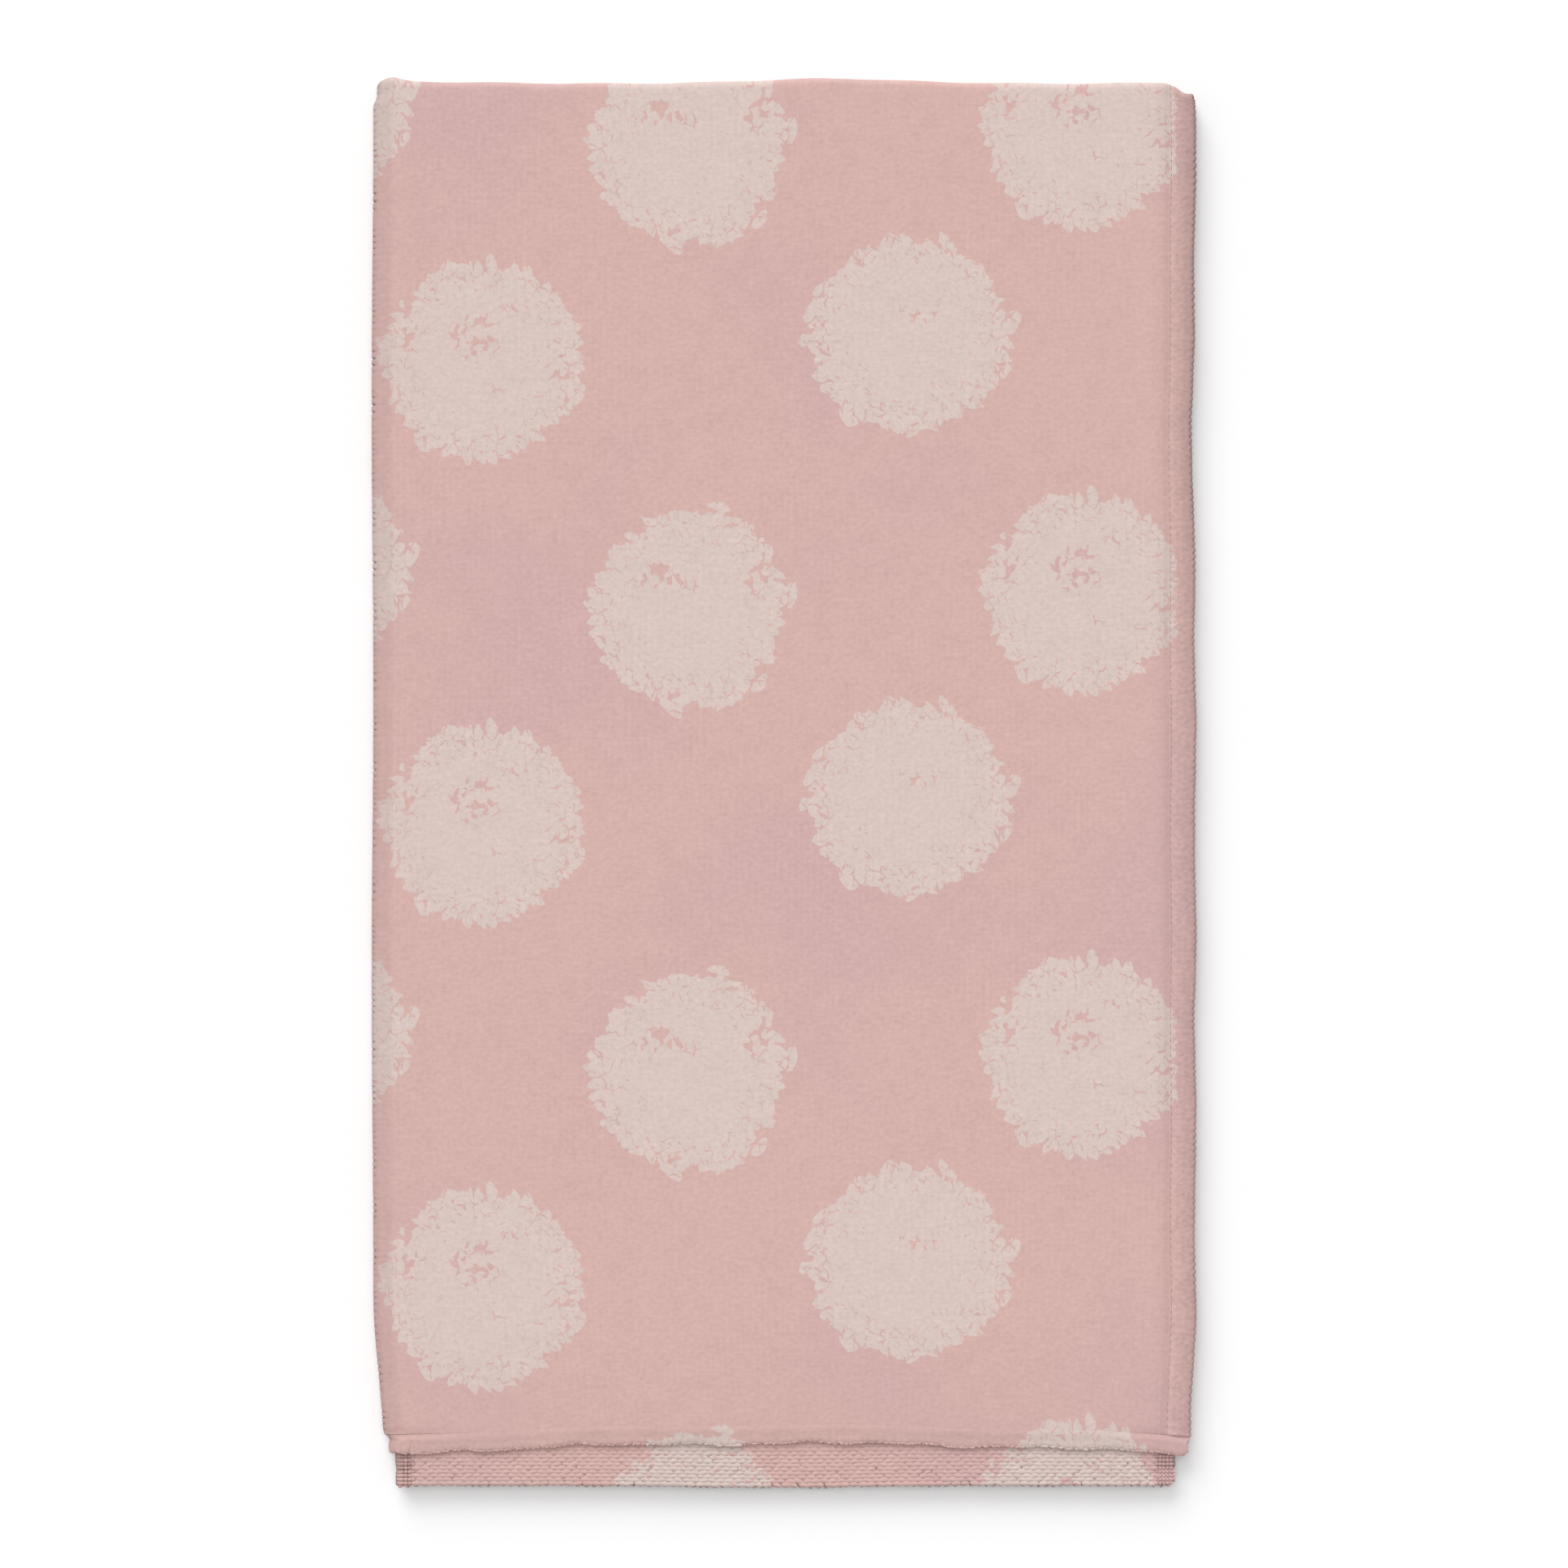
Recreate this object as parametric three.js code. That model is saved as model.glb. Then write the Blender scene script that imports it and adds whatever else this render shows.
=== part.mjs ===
// A printed bath towel, folded in half crosswise and then in half lengthwise.
// Millimetres. X runs across the folded towel, Y towards its crosswise fold, Z up from the table.
// The front half of the cloth lies outside: the printed velour faces up on top and down below.
// Heights inside the cloth are counted from the looped reverse (0) to the printed face.

import * as THREE from 'three';

// The folded towel
const foldedWidth = 349; // lengthwise fold to hemmed edge
const foldedLength = 594; // crosswise fold to the lowest end hem
const clothThickness = 2.7; // velour pile, ground weave and loops
const layerGap = 0.4; // air between two layers that lie on each other

// How far the ends stand back from the lowest end hem
const frontSetback = 17; // both layers of the front half
const upperBackSetback = 1.6; // the back half's upper layer

// Hems and seams
const sideHemWidth = 10;
const endHemWidth = 6.3;
const hemPly = 0.75; // the edge is woven without pile, so that it can be turned twice
const hemTuck = 1.6; // the raw edge stops this far short of the hem's outer turn
const threadDiameter = 0.5;
const threadClearance = 0.3;
const cutGap = 0.3; // between two stretches of one cloth

// The ends draw in where the hems are sewn: at the lengthwise fold, at the open edge, over a length
const frontDrawIn = { atFold: 7, atEdge: 3.5, over: 64 };
const backDrawIn = { atFold: 7, atEdge: 8.5, over: 150 };
const endBow = 2.4; // the front half's end rises this much mid-way and dips as much at its ends
const endBowReach = 60;

// Colours and finishes
const printedPink = 0xd4b1ab;
const reversePink = 0xd3b0a9;
const hemPink = 0xc3a3a0;
const threadPink = 0xb48c8b;
const clothRoughness = 0.95;
const threadRoughness = 0.7;

// Places that follow from the sizes above
const pitch = clothThickness + layerGap;
const stackHeight = 4 * clothThickness + 3 * layerGap;
const hingeZ = stackHeight / 2;
const leftX = -foldedWidth / 2;
const rightX = foldedWidth / 2;
const hingeX = leftX + stackHeight / 2;
const innerRadius = layerGap / 2;
const foldRadius = innerRadius + clothThickness;
const outerFoldRadius = innerRadius + pitch;
const foldY = foldedLength / 2 - foldRadius;
const endY = -foldedLength / 2;
const seamWidth = threadDiameter + 2 * threadClearance;
const plyGap = (clothThickness - 3 * hemPly) / 2;
const panelLeft = hingeX + cutGap;
const panelRight = rightX - sideHemWidth - seamWidth;
const panelTop = foldY - cutGap;

// The four layers. printUp says which way the velour faces, end is where the end hem stops.
const layers = {
  upper_front: { base: 3 * pitch, printUp: true, end: endY + frontSetback, front: true },
  upper_back: { base: 2 * pitch, printUp: false, end: endY + upperBackSetback, front: false },
  lower_back: { base: pitch, printUp: true, end: endY, front: false },
  lower_front: { base: 0, printUp: false, end: endY + frontSetback, front: true },
};

function seamTop(layer) {
  return layer.end + endHemWidth + seamWidth;
}

function ease(t) {
  const s = Math.min(Math.max(t, 0), 1);
  return s * s * (3 - 2 * s);
}

// Moves a point of the square-cut cloth to where the drawn-in, bowed end holds it.
function settle(x, y, z, front) {
  const draw = front ? frontDrawIn : backDrawIn;
  const end = front ? endY + frontSetback : endY;
  const pull = ease((end + draw.over - y) / draw.over);
  const share = (x - leftX) / foldedWidth;
  const movedX = x + pull * (draw.atFold * (1 - share) - draw.atEdge * share);
  const offCentre = (2 * x) / foldedWidth;
  const bow = front ? endBow * (1 - 2 * offCentre * offCentre) : 0;
  const movedY = y + bow * ease((end + endBowReach - y) / endBowReach);
  return new THREE.Vector3(movedX, movedY, z);
}

// Where a point of a flat layer is, from its height above the looped reverse.
function onLayer(layer, x, y, height) {
  const z = layer.base + (layer.printUp ? height : clothThickness - height);
  return settle(x, y, z, layer.front);
}

// Where a point of a lengthwise fold is. angle runs from the upper layer to the lower one.
function onSideFold(front, angle, y, height) {
  const inside = front ? outerFoldRadius : innerRadius;
  const radius = inside + (front ? height : clothThickness - height);
  const x = hingeX - radius * Math.sin(angle);
  return settle(x, y, hingeZ + radius * Math.cos(angle), front);
}

// Where a point of a crosswise fold is. angle runs from its upper layer to its lower one.
function onEndFold(centreZ, x, angle, height) {
  const radius = innerRadius + height;
  const y = foldY + radius * Math.sin(angle);
  return new THREE.Vector3(x, y, centreZ + radius * Math.cos(angle));
}

function steps(from, to, count) {
  return Array.from({ length: count + 1 }, (_, i) => from + ((to - from) * i) / count);
}

// Closer together towards the end, where the cloth draws in.
function lengthSteps(from, to) {
  const marks = [6, 14, 24, 36, 50, 64, 90, 120, 150].map((mark) => endY + frontSetback + mark);
  return [from, ...marks.filter((mark) => mark > from + 2 && mark < to - 2), to];
}

function quad(faces, a, b, c, d) {
  faces.push(a, b, c, a, c, d);
}

function signedVolume(points, faces) {
  let sum = 0;
  for (let i = 0; i < faces.length; i += 3) {
    const [a, b, c] = [points[faces[i]], points[faces[i + 1]], points[faces[i + 2]]];
    sum += a.dot(new THREE.Vector3().crossVectors(b, c));
  }
  return sum;
}

// A closed solid between two faces. rows[i] is a pair of section points, one on each face, and
// place(point, station) puts a section point at a station of the sweep.
function sweep(rows, stations, place) {
  const points = [];
  stations.forEach((station) => {
    rows.forEach((pair) => points.push(place(pair[0], station), place(pair[1], station)));
  });
  const at = (row, station, face) => 2 * (station * rows.length + row) + face;
  const lastRow = rows.length - 1;
  const lastStation = stations.length - 1;
  const faces = [];
  for (let s = 0; s < lastStation; s += 1) {
    for (let r = 0; r < lastRow; r += 1) {
      quad(faces, at(r, s, 0), at(r + 1, s, 0), at(r + 1, s + 1, 0), at(r, s + 1, 0));
      quad(faces, at(r, s, 1), at(r, s + 1, 1), at(r + 1, s + 1, 1), at(r + 1, s, 1));
    }
    quad(faces, at(0, s, 0), at(0, s + 1, 0), at(0, s + 1, 1), at(0, s, 1));
    quad(faces, at(lastRow, s, 0), at(lastRow, s, 1), at(lastRow, s + 1, 1), at(lastRow, s + 1, 0));
  }
  for (let r = 0; r < lastRow; r += 1) {
    quad(faces, at(r, 0, 0), at(r, 0, 1), at(r + 1, 0, 1), at(r + 1, 0, 0));
    quad(faces, at(r, lastStation, 0), at(r + 1, lastStation, 0),
      at(r + 1, lastStation, 1), at(r, lastStation, 1));
  }
  if (signedVolume(points, faces) < 0) {
    faces.reverse();
  }
  const geometry = new THREE.BufferGeometry().setFromPoints(points);
  geometry.setIndex(faces);
  geometry.computeVertexNormals();
  return geometry;
}

// Section points are [along, height]: along the cloth's width or length, and above the reverse.
function flatSection(from, to, count) {
  return steps(from, to, count).map((along) => [[along, 0], [along, clothThickness]]);
}

// A turn of one ply about a point, from straight above it round to straight below, or back.
function plyTurn(centre, height, radius, from, to, count) {
  const half = hemPly / 2;
  return steps(from, to, count).map((angle) => [
    [centre + (radius - half) * Math.sin(angle), height + (radius - half) * Math.cos(angle)],
    [centre + (radius + half) * Math.sin(angle), height + (radius + half) * Math.cos(angle)],
  ]);
}

// A hem turned twice to the reverse: out along the printed face, back along the reverse, and
// in again between the two. seam is where it starts, edge is the outer turn.
function hemSection(seam, edge) {
  const way = Math.sign(edge - seam);
  const width = Math.abs(edge - seam);
  const outerTurn = (clothThickness - hemPly) / 2;
  const innerTurn = (hemPly + plyGap) / 2;
  const outerCentre = width - clothThickness / 2;
  const innerCentre = innerTurn + hemPly / 2;
  const rows = [
    [[0, clothThickness - hemPly], [0, clothThickness]],
    ...plyTurn(outerCentre, clothThickness / 2, outerTurn, 0, Math.PI, 6),
    ...plyTurn(innerCentre, innerCentre, innerTurn, Math.PI, 2 * Math.PI, 5),
    [[outerCentre - hemTuck, 2 * innerTurn], [outerCentre - hemTuck, 2 * innerTurn + hemPly]],
  ];
  return rows.map((pair) => pair.map(([along, height]) => [seam + way * along, height]));
}

// A sewing thread's round section, eight-sided, at a given height in the seam.
function threadSection(along, height) {
  const radius = threadDiameter / 2;
  const point = (angle) => [
    along + radius * Math.cos(angle),
    height + radius * Math.sin(angle),
  ];
  return [7, 5, 3, 1].map((eighth) => {
    const angle = (eighth * Math.PI) / 8;
    return [point(-angle), point(angle)];
  });
}

function cloth(name, geometry, color) {
  const material = new THREE.MeshStandardMaterial({
    color,
    roughness: clothRoughness,
    metalness: 0,
  });
  return named(name, geometry, material);
}

function thread(name, geometry) {
  const material = new THREE.MeshStandardMaterial({
    color: threadPink,
    roughness: threadRoughness,
    metalness: 0,
  });
  return named(name, geometry, material);
}

function named(name, geometry, material) {
  const mesh = new THREE.Mesh(geometry, material);
  mesh.name = name;
  return mesh;
}

// The needle thread lies on the printed face of a seam, the bobbin thread on the reverse.
const seamThreads = [
  ['needle', clothThickness - threadDiameter / 2],
  ['bobbin', threadDiameter / 2],
];

const sideSeamX = rightX - sideHemWidth - seamWidth / 2;

function panel(name, layer) {
  const rows = flatSection(panelLeft, panelRight, 10);
  const stations = lengthSteps(seamTop(layer), panelTop);
  const place = ([x, height], y) => onLayer(layer, x, y, height);
  const color = layer.printUp ? printedPink : reversePink;
  return cloth(`${name}_panel`, sweep(rows, stations, place), color);
}

function sideHem(name, layer) {
  const rows = hemSection(rightX - sideHemWidth, rightX);
  const stations = lengthSteps(seamTop(layer), panelTop);
  const place = ([x, height], y) => onLayer(layer, x, y, height);
  return cloth(`${name}_side_hem`, sweep(rows, stations, place), hemPink);
}

function endHem(name, layer) {
  const rows = hemSection(layer.end + endHemWidth, layer.end);
  const place = ([y, height], x) => onLayer(layer, x, y, height);
  return cloth(`${name}_end_hem`, sweep(rows, steps(panelLeft, rightX, 12), place), hemPink);
}

function sideThreads(name, layer) {
  const stations = lengthSteps(seamTop(layer), panelTop);
  const place = ([x, height], y) => onLayer(layer, x, y, height);
  return seamThreads.map(([kind, height]) => {
    const rows = threadSection(sideSeamX, height);
    return thread(`${name}_side_${kind}_thread`, sweep(rows, stations, place));
  });
}

function endThreads(name, layer) {
  const place = ([y, height], x) => onLayer(layer, x, y, height);
  return seamThreads.map(([kind, height]) => {
    const rows = threadSection(layer.end + endHemWidth + seamWidth / 2, height);
    return thread(`${name}_end_${kind}_thread`, sweep(rows, steps(panelLeft, rightX, 12), place));
  });
}

function quarter(name) {
  const layer = layers[name];
  return [
    panel(name, layer),
    sideHem(name, layer),
    endHem(name, layer),
    ...sideThreads(name, layer),
    ...endThreads(name, layer),
  ];
}

// The crosswise fold of one half, with the side hem and its threads going round it.
function crosswiseFold(name, centreZ) {
  const place = ([x, height], angle) => onEndFold(centreZ, x, angle, height);
  const turn = steps(0, Math.PI, 12);
  return [
    cloth(`${name}_crosswise_fold`,
      sweep(flatSection(panelLeft, panelRight, 1), turn, place), printedPink),
    cloth(`${name}_fold_side_hem`,
      sweep(hemSection(rightX - sideHemWidth, rightX), turn, place), hemPink),
    ...seamThreads.map(([kind, height]) => thread(`${name}_fold_${kind}_thread`,
      sweep(threadSection(sideSeamX, height), turn, place))),
  ];
}

// A lengthwise fold: the cloth, the end hem and the hem's threads going round it.
function lengthwiseFold(name, layer) {
  const turn = steps(0, Math.PI, 14);
  const placeCloth = ([angle, height], y) => onSideFold(layer.front, angle, y, height);
  const placeHem = ([y, height], angle) => onSideFold(layer.front, angle, y, height);
  const rows = turn.map((angle) => [[angle, 0], [angle, clothThickness]]);
  const hem = hemSection(layer.end + endHemWidth, layer.end);
  const seamY = layer.end + endHemWidth + seamWidth / 2;
  return [
    cloth(`${name}_side_fold`,
      sweep(rows, lengthSteps(seamTop(layer), panelTop), placeCloth), printedPink),
    cloth(`${name}_fold_end_hem`, sweep(hem, turn, placeHem), hemPink),
    ...seamThreads.map(([kind, height]) => thread(`${name}_fold_end_${kind}_thread`,
      sweep(threadSection(seamY, height), turn, placeHem))),
  ];
}

// Where the crosswise fold itself is folded lengthwise: its bend, carried round the hinge line.
function foldedCorner() {
  const rows = steps(0, Math.PI, 10).map((bend) => [[bend, 0], [bend, clothThickness]]);
  const place = ([bend, height], angle) => {
    const radius = pitch + (innerRadius + height) * Math.cos(bend);
    const y = foldY + (innerRadius + height) * Math.sin(bend);
    const x = hingeX - radius * Math.sin(angle);
    return new THREE.Vector3(x, y, hingeZ + radius * Math.cos(angle));
  };
  return cloth('folded_corner', sweep(rows, steps(0, Math.PI, 14), place), printedPink);
}

const upperHalf = new THREE.Group();
upperHalf.name = 'upper_half';
upperHalf.add(
  ...quarter('upper_front'),
  ...quarter('upper_back'),
  ...crosswiseFold('upper', hingeZ + pitch),
);

const lowerHalf = new THREE.Group();
lowerHalf.name = 'lower_half';
lowerHalf.add(
  ...quarter('lower_front'),
  ...quarter('lower_back'),
  ...crosswiseFold('lower', hingeZ - pitch),
  ...lengthwiseFold('outer', layers.lower_front),
  ...lengthwiseFold('inner', layers.lower_back),
  foldedCorner(),
);

const towel = new THREE.Group();
towel.name = 'bath_towel';
towel.add(upperHalf, lowerHalf);

export default towel;
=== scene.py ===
"""A printed bath towel, folded in half crosswise and then lengthwise, lying on a pale surface."""

import logging
import math
from dataclasses import dataclass, field
from enum import Enum
from typing import Sequence, Union

import bpy
import numpy as np
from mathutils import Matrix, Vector


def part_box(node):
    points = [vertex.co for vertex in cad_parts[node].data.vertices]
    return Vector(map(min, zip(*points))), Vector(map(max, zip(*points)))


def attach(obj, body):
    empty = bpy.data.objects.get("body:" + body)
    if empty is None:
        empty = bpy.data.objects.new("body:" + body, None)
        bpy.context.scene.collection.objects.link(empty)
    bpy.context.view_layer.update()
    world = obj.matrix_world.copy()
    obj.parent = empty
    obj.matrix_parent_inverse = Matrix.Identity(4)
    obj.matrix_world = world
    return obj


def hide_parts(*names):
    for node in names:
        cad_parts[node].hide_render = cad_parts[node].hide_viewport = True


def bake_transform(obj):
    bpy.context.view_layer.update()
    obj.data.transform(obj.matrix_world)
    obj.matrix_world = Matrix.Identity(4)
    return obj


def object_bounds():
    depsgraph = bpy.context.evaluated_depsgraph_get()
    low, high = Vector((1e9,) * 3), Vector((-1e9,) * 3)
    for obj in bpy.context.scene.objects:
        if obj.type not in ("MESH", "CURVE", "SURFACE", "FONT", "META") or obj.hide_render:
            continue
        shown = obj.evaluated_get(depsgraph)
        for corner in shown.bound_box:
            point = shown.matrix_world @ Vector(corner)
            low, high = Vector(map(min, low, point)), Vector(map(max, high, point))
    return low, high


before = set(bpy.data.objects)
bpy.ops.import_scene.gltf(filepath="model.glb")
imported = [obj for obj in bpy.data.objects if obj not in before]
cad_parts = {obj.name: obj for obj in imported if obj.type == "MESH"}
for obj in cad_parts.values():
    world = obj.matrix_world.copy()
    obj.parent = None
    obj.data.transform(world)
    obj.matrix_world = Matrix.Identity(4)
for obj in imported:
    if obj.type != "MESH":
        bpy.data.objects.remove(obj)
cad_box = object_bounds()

MM = 0.001
FULL_TURN = 2 * math.pi
LOG = logging.getLogger("towel")
Array = np.ndarray
Socket = bpy.types.NodeSocket
Feed = Union[Socket, float, Sequence[float]]


def eased(share: Array) -> Array:
    """Smooth step of a share held between 0 and 1."""
    held = np.clip(share, 0.0, 1.0)
    return held * held * (3.0 - 2.0 * held)


def rise(place: Array, start: float, over: float) -> Array:
    """A smooth rise from 0 at the start to 1 a given way past it."""
    return eased((place - start) / over)


def fade(place: Array, start: float, over: float) -> Array:
    """A smooth fall from 1 at the start to 0 a given way past it."""
    return eased((start + over - place) / over)


def hump(place: Array, centre: float, breadth: float) -> Array:
    """A bell-shaped rise to 1 about a centre."""
    return np.exp(-(((place - centre) / breadth) ** 2))


def wave(place: Array, reach: float, start: float = 0.0) -> Array:
    """A sine wave between -1 and 1, one radian to each reach."""
    return np.sin(place / reach + start)


def spread(start: float, stop: float, step: float) -> Array:
    """Evenly spaced places from start to stop, no further apart than step."""
    count = max(2, int(math.ceil(abs(stop - start) / step)) + 1)
    return np.linspace(start, stop, count)


class Face(Enum):
    """Which face of the cloth shows."""

    PRINTED = "printed"
    LOOPED = "looped"


@dataclass(frozen=True)
class Course:
    """One line of places across the cloth: flat distance from the hinge line, and fold angle."""

    flat: Array
    turn: Array

    @classmethod
    def on_layer(cls, upper: bool, start: float, stop: float, step: float) -> "Course":
        """A stretch of an upper or a lower layer, start and stop counted from the hinge line."""
        flat = spread(start, stop, step)
        return cls(flat, np.full_like(flat, 0.0 if upper else math.pi))

    @classmethod
    def round_fold(cls, lap: float, lap_step: float, turns: int) -> "Course":
        """A lengthwise fold with a lap of flat cloth on each side, from upper to lower.

        Args:
            lap: width of flat cloth kept on each side of the bend.
            lap_step: spacing of the places on the laps.
            turns: number of steps round the bend.

        Returns:
            The course, from the far side of the upper lap to the far side of the lower one.
        """
        bend = np.linspace(0.0, math.pi, turns + 1)
        side = spread(lap, 0.0, lap_step)[:-1]
        flat = np.concatenate([side, np.zeros_like(bend), side[::-1]])
        turn = np.concatenate([np.zeros_like(side), bend, np.full_like(side, math.pi)])
        return cls(flat, turn)


@dataclass(frozen=True)
class Run:
    """One line of places along the cloth: length position, and angle round the crosswise fold."""

    length: Array
    bend: Array

    @classmethod
    def into_fold(cls, start: float, fold: float, step: float, turns: int = 6) -> "Run":
        """A stretch that ends half-way round the crosswise fold.

        Args:
            start: length position where it begins.
            fold: length position of the crosswise fold's centre line.
            step: spacing along the straight part.
            turns: number of steps round the quarter bend.

        Returns:
            The run, ending on the fold's outermost line.
        """
        length = spread(start, fold, step)
        quarter = np.linspace(0.0, math.pi / 2, turns + 1)[1:]
        return cls(
            np.concatenate([length, np.full_like(quarter, fold)]),
            np.concatenate([np.zeros_like(length), quarter]),
        )


@dataclass(frozen=True)
class FoldedLayout:
    """Where the folded cloth lies, in metres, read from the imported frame.

    A draw is how far a half's open end is drawn in at the lengthwise fold and at the side hem,
    and over what length.
    """

    left: float
    right: float
    top: float
    bottom: float
    height: float
    ply: float
    seam_x: float
    side_hem: float
    end_hem: float
    seam_gap: float
    front_setback: float = 17.0 * MM
    upper_back_setback: float = 1.6 * MM
    front_draw: tuple[float, float, float] = (4.6 * MM, 1.8 * MM, 64.0 * MM)
    back_draw: tuple[float, float, float] = (7.0 * MM, 8.5 * MM, 150.0 * MM)
    end_bow: float = 2.4 * MM
    bow_reach: float = 60.0 * MM
    back_sag: float = 0.8 * MM
    side_wave: float = 0.35 * MM
    hem_inset: float = 0.5 * MM
    hem_waist: float = 1.3 * MM
    shoulder: float = 1.6 * MM
    far_bump: float = 1.5 * MM
    far_swell: float = 1.2 * MM
    corner_cut: float = 4.9 * MM
    broad_wave: float = 0.22 * MM
    fine_wave: float = 0.12 * MM

    @classmethod
    def from_frame(cls) -> "FoldedLayout":
        """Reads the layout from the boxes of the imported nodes.

        Returns:
            The layout.
        """
        low, high = cad_box
        panel_low, panel_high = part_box("upper_front_panel")
        fold_low, fold_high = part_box("upper_crosswise_fold")
        hem_low, hem_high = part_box("upper_fold_side_hem")
        end_low, end_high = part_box("inner_fold_end_hem")
        return cls(
            left=low.x,
            right=high.x,
            top=high.y,
            bottom=low.y,
            height=high.z,
            ply=panel_high.z - panel_low.z,
            seam_x=(fold_high.x + hem_low.x) / 2,
            side_hem=hem_high.x - hem_low.x,
            end_hem=end_high.y - end_low.y,
            seam_gap=hem_low.x - fold_high.x,
        )

    @property
    def gap(self) -> float:
        """Air between two layers."""
        return (self.height - 4 * self.ply) / 3

    @property
    def pitch(self) -> float:
        """From one layer to the next."""
        return self.ply + self.gap

    @property
    def hinge_x(self) -> float:
        """The line that the upper half turns about, across the towel."""
        return self.left + self.height / 2

    @property
    def hinge_z(self) -> float:
        """The line that the upper half turns about, above the table."""
        return self.height / 2

    @property
    def fold_y(self) -> float:
        """The centre line of the crosswise fold."""
        return self.top - self.gap / 2 - self.ply

    @property
    def seam_flat(self) -> float:
        """The side seam, counted from the hinge line."""
        return self.seam_x - self.hinge_x

    @property
    def edge_flat(self) -> float:
        """The side hem's outer edge, counted from the hinge line."""
        return self.right - self.hinge_x

    def mid_level(self, front: bool) -> float:
        """The middle of a half's cloth, counted outwards from the hinge line."""
        return self.pitch + (self.gap + self.ply) / 2 * (1.0 if front else -1.0)

    def end_of(self, front: bool, upper: bool) -> float:
        """Length position where a layer's end hem stops."""
        back_setback = self.upper_back_setback if upper else 0.0
        return self.bottom + (self.front_setback if front else back_setback)

    def end_seam_of(self, front: bool, upper: bool) -> float:
        """Length position of a layer's end seam."""
        return self.end_of(front, upper) + self.end_hem + self.seam_gap / 2

    def point(
        self, flat: Array, turn: Array, length: Array, bend: Array, height: Array, front: bool
    ) -> Array:
        """Where a point of the folded cloth lies.

        Args:
            flat: distance from the hinge line across a flat layer, 0 on the lengthwise fold.
            turn: angle round the lengthwise fold, 0 on the upper layer, pi on the lower one.
            length: position along the towel.
            bend: angle round the crosswise fold, 0 before it.
            height: height in the cloth above its looped reverse.
            front: whether it is on the outer, front half of the cloth.

        Returns:
            An array with the three coordinates last.
        """
        radius = self.gap / 2 + height
        side = 1.0 if front else -1.0
        level = self.pitch + side * radius * np.cos(bend)
        x = self.hinge_x + flat - level * np.sin(turn)
        y = length + radius * np.sin(bend)
        z = self.hinge_z + level * np.cos(turn)
        return self.settled(x, y, z, front)

    def settled(self, x: Array, y: Array, z: Array, front: bool) -> Array:
        """Moves square-cut cloth to where sewing, folding and lying have drawn it.

        Args:
            x: place across the towel.
            y: place along the towel.
            z: height above the table.
            front: whether it is on the outer, front half of the cloth.

        Returns:
            An array with the three coordinates last.
        """
        at_fold, at_edge, over = self.front_draw if front else self.back_draw
        end = self.end_of(front, upper=False)
        share = (x - self.left) / (self.right - self.left)
        new_x = x + fade(y, end, over) * (at_fold * (1 - share) - at_edge * share)
        if front:
            new_x, new_y = self.front_end(x, y, new_x, share)
        else:
            sag = self.back_sag * (1 + hump(x, 0.0, 45 * MM))
            new_y = y - sag * fade(y, end, 40 * MM)
        new_y = self.crosswise_edge(x, y, new_y)
        inset = self.hem_inset + self.hem_waist * hump(y, 150 * MM, 52 * MM)
        new_x = new_x + rise(share, 0.93, 0.07) * (self.side_wave * wave(y, 13 * MM) - inset)
        bulge = self.side_wave * wave(y, 39 * MM, 0.6)
        bulge = bulge + self.shoulder * rise(y, self.fold_y - 8 * MM, 5 * MM)
        new_x = new_x + fade(share, 0.0, 0.05) * bulge
        return np.stack([new_x, new_y, z + self.lift(x, y) * z / self.height], axis=-1)

    def lift(self, x: Array, y: Array) -> Array:
        """How far the top layer waves, never above flat, and not at all beside the fold."""
        broad = self.broad_wave * (wave(x, 33 * MM, 0.7) * wave(y, 41 * MM) - 1)
        fine = self.fine_wave * (wave(x / (15 * MM) + y / (21 * MM), 1.0) - 1)
        return (broad + fine) * rise(x, self.hinge_x + 5 * MM, 15 * MM)

    def front_end(
        self, x: Array, y: Array, new_x: Array, share: Array
    ) -> tuple[Array, Array]:
        """The front half's end: bowed along its hem, and nipped in where the hem begins.

        Args:
            x: place across the square-cut towel.
            y: place along it.
            new_x: place across as drawn in so far.
            share: how far across the towel, from 0 at the fold to 1 at the hem.

        Returns:
            The new places across and along.
        """
        end = self.end_of(True, upper=False)
        off_centre = 2 * x / (self.right - self.left)
        bow = self.end_bow * (1 - 2 * off_centre**2) + 0.5 * MM * wave(x, 17 * MM)
        nip = fade(y, end + 4.4 * MM, 2.4 * MM) - 0.35 * fade(y, end + 1.5 * MM, 3 * MM)
        new_x = new_x + nip * 2.9 * MM * fade(share, 0.0, 0.12)
        new_x = new_x - nip * 1.6 * MM * rise(share, 0.88, 0.12)
        return new_x, y + bow * fade(y, end, self.bow_reach)

    def crosswise_edge(self, x: Array, y: Array, new_y: Array) -> Array:
        """The crosswise fold's edge: a bump at the lengthwise fold, a cut corner at the hem.

        Args:
            x: place across the square-cut towel.
            y: place along it.
            new_y: place along as drawn so far.

        Returns:
            The new place along.
        """
        uneven = 0.45 * MM * wave(x, 31 * MM, 1.0) + 0.2 * MM * wave(x, 7 * MM)
        uneven = uneven + self.far_bump * hump(x, self.left + 8 * MM, 5.5 * MM)
        uneven = uneven + self.far_swell * hump(x, 20 * MM, 34 * MM)
        at_edge = rise(y, self.fold_y - 9 * MM, 11 * MM)
        corner = rise(x, self.seam_x - 1.5 * MM, 9 * MM)
        new_y = new_y + uneven * rise(y, self.fold_y - 26 * MM, 28 * MM)
        return new_y - self.corner_cut * at_edge * corner

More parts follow.
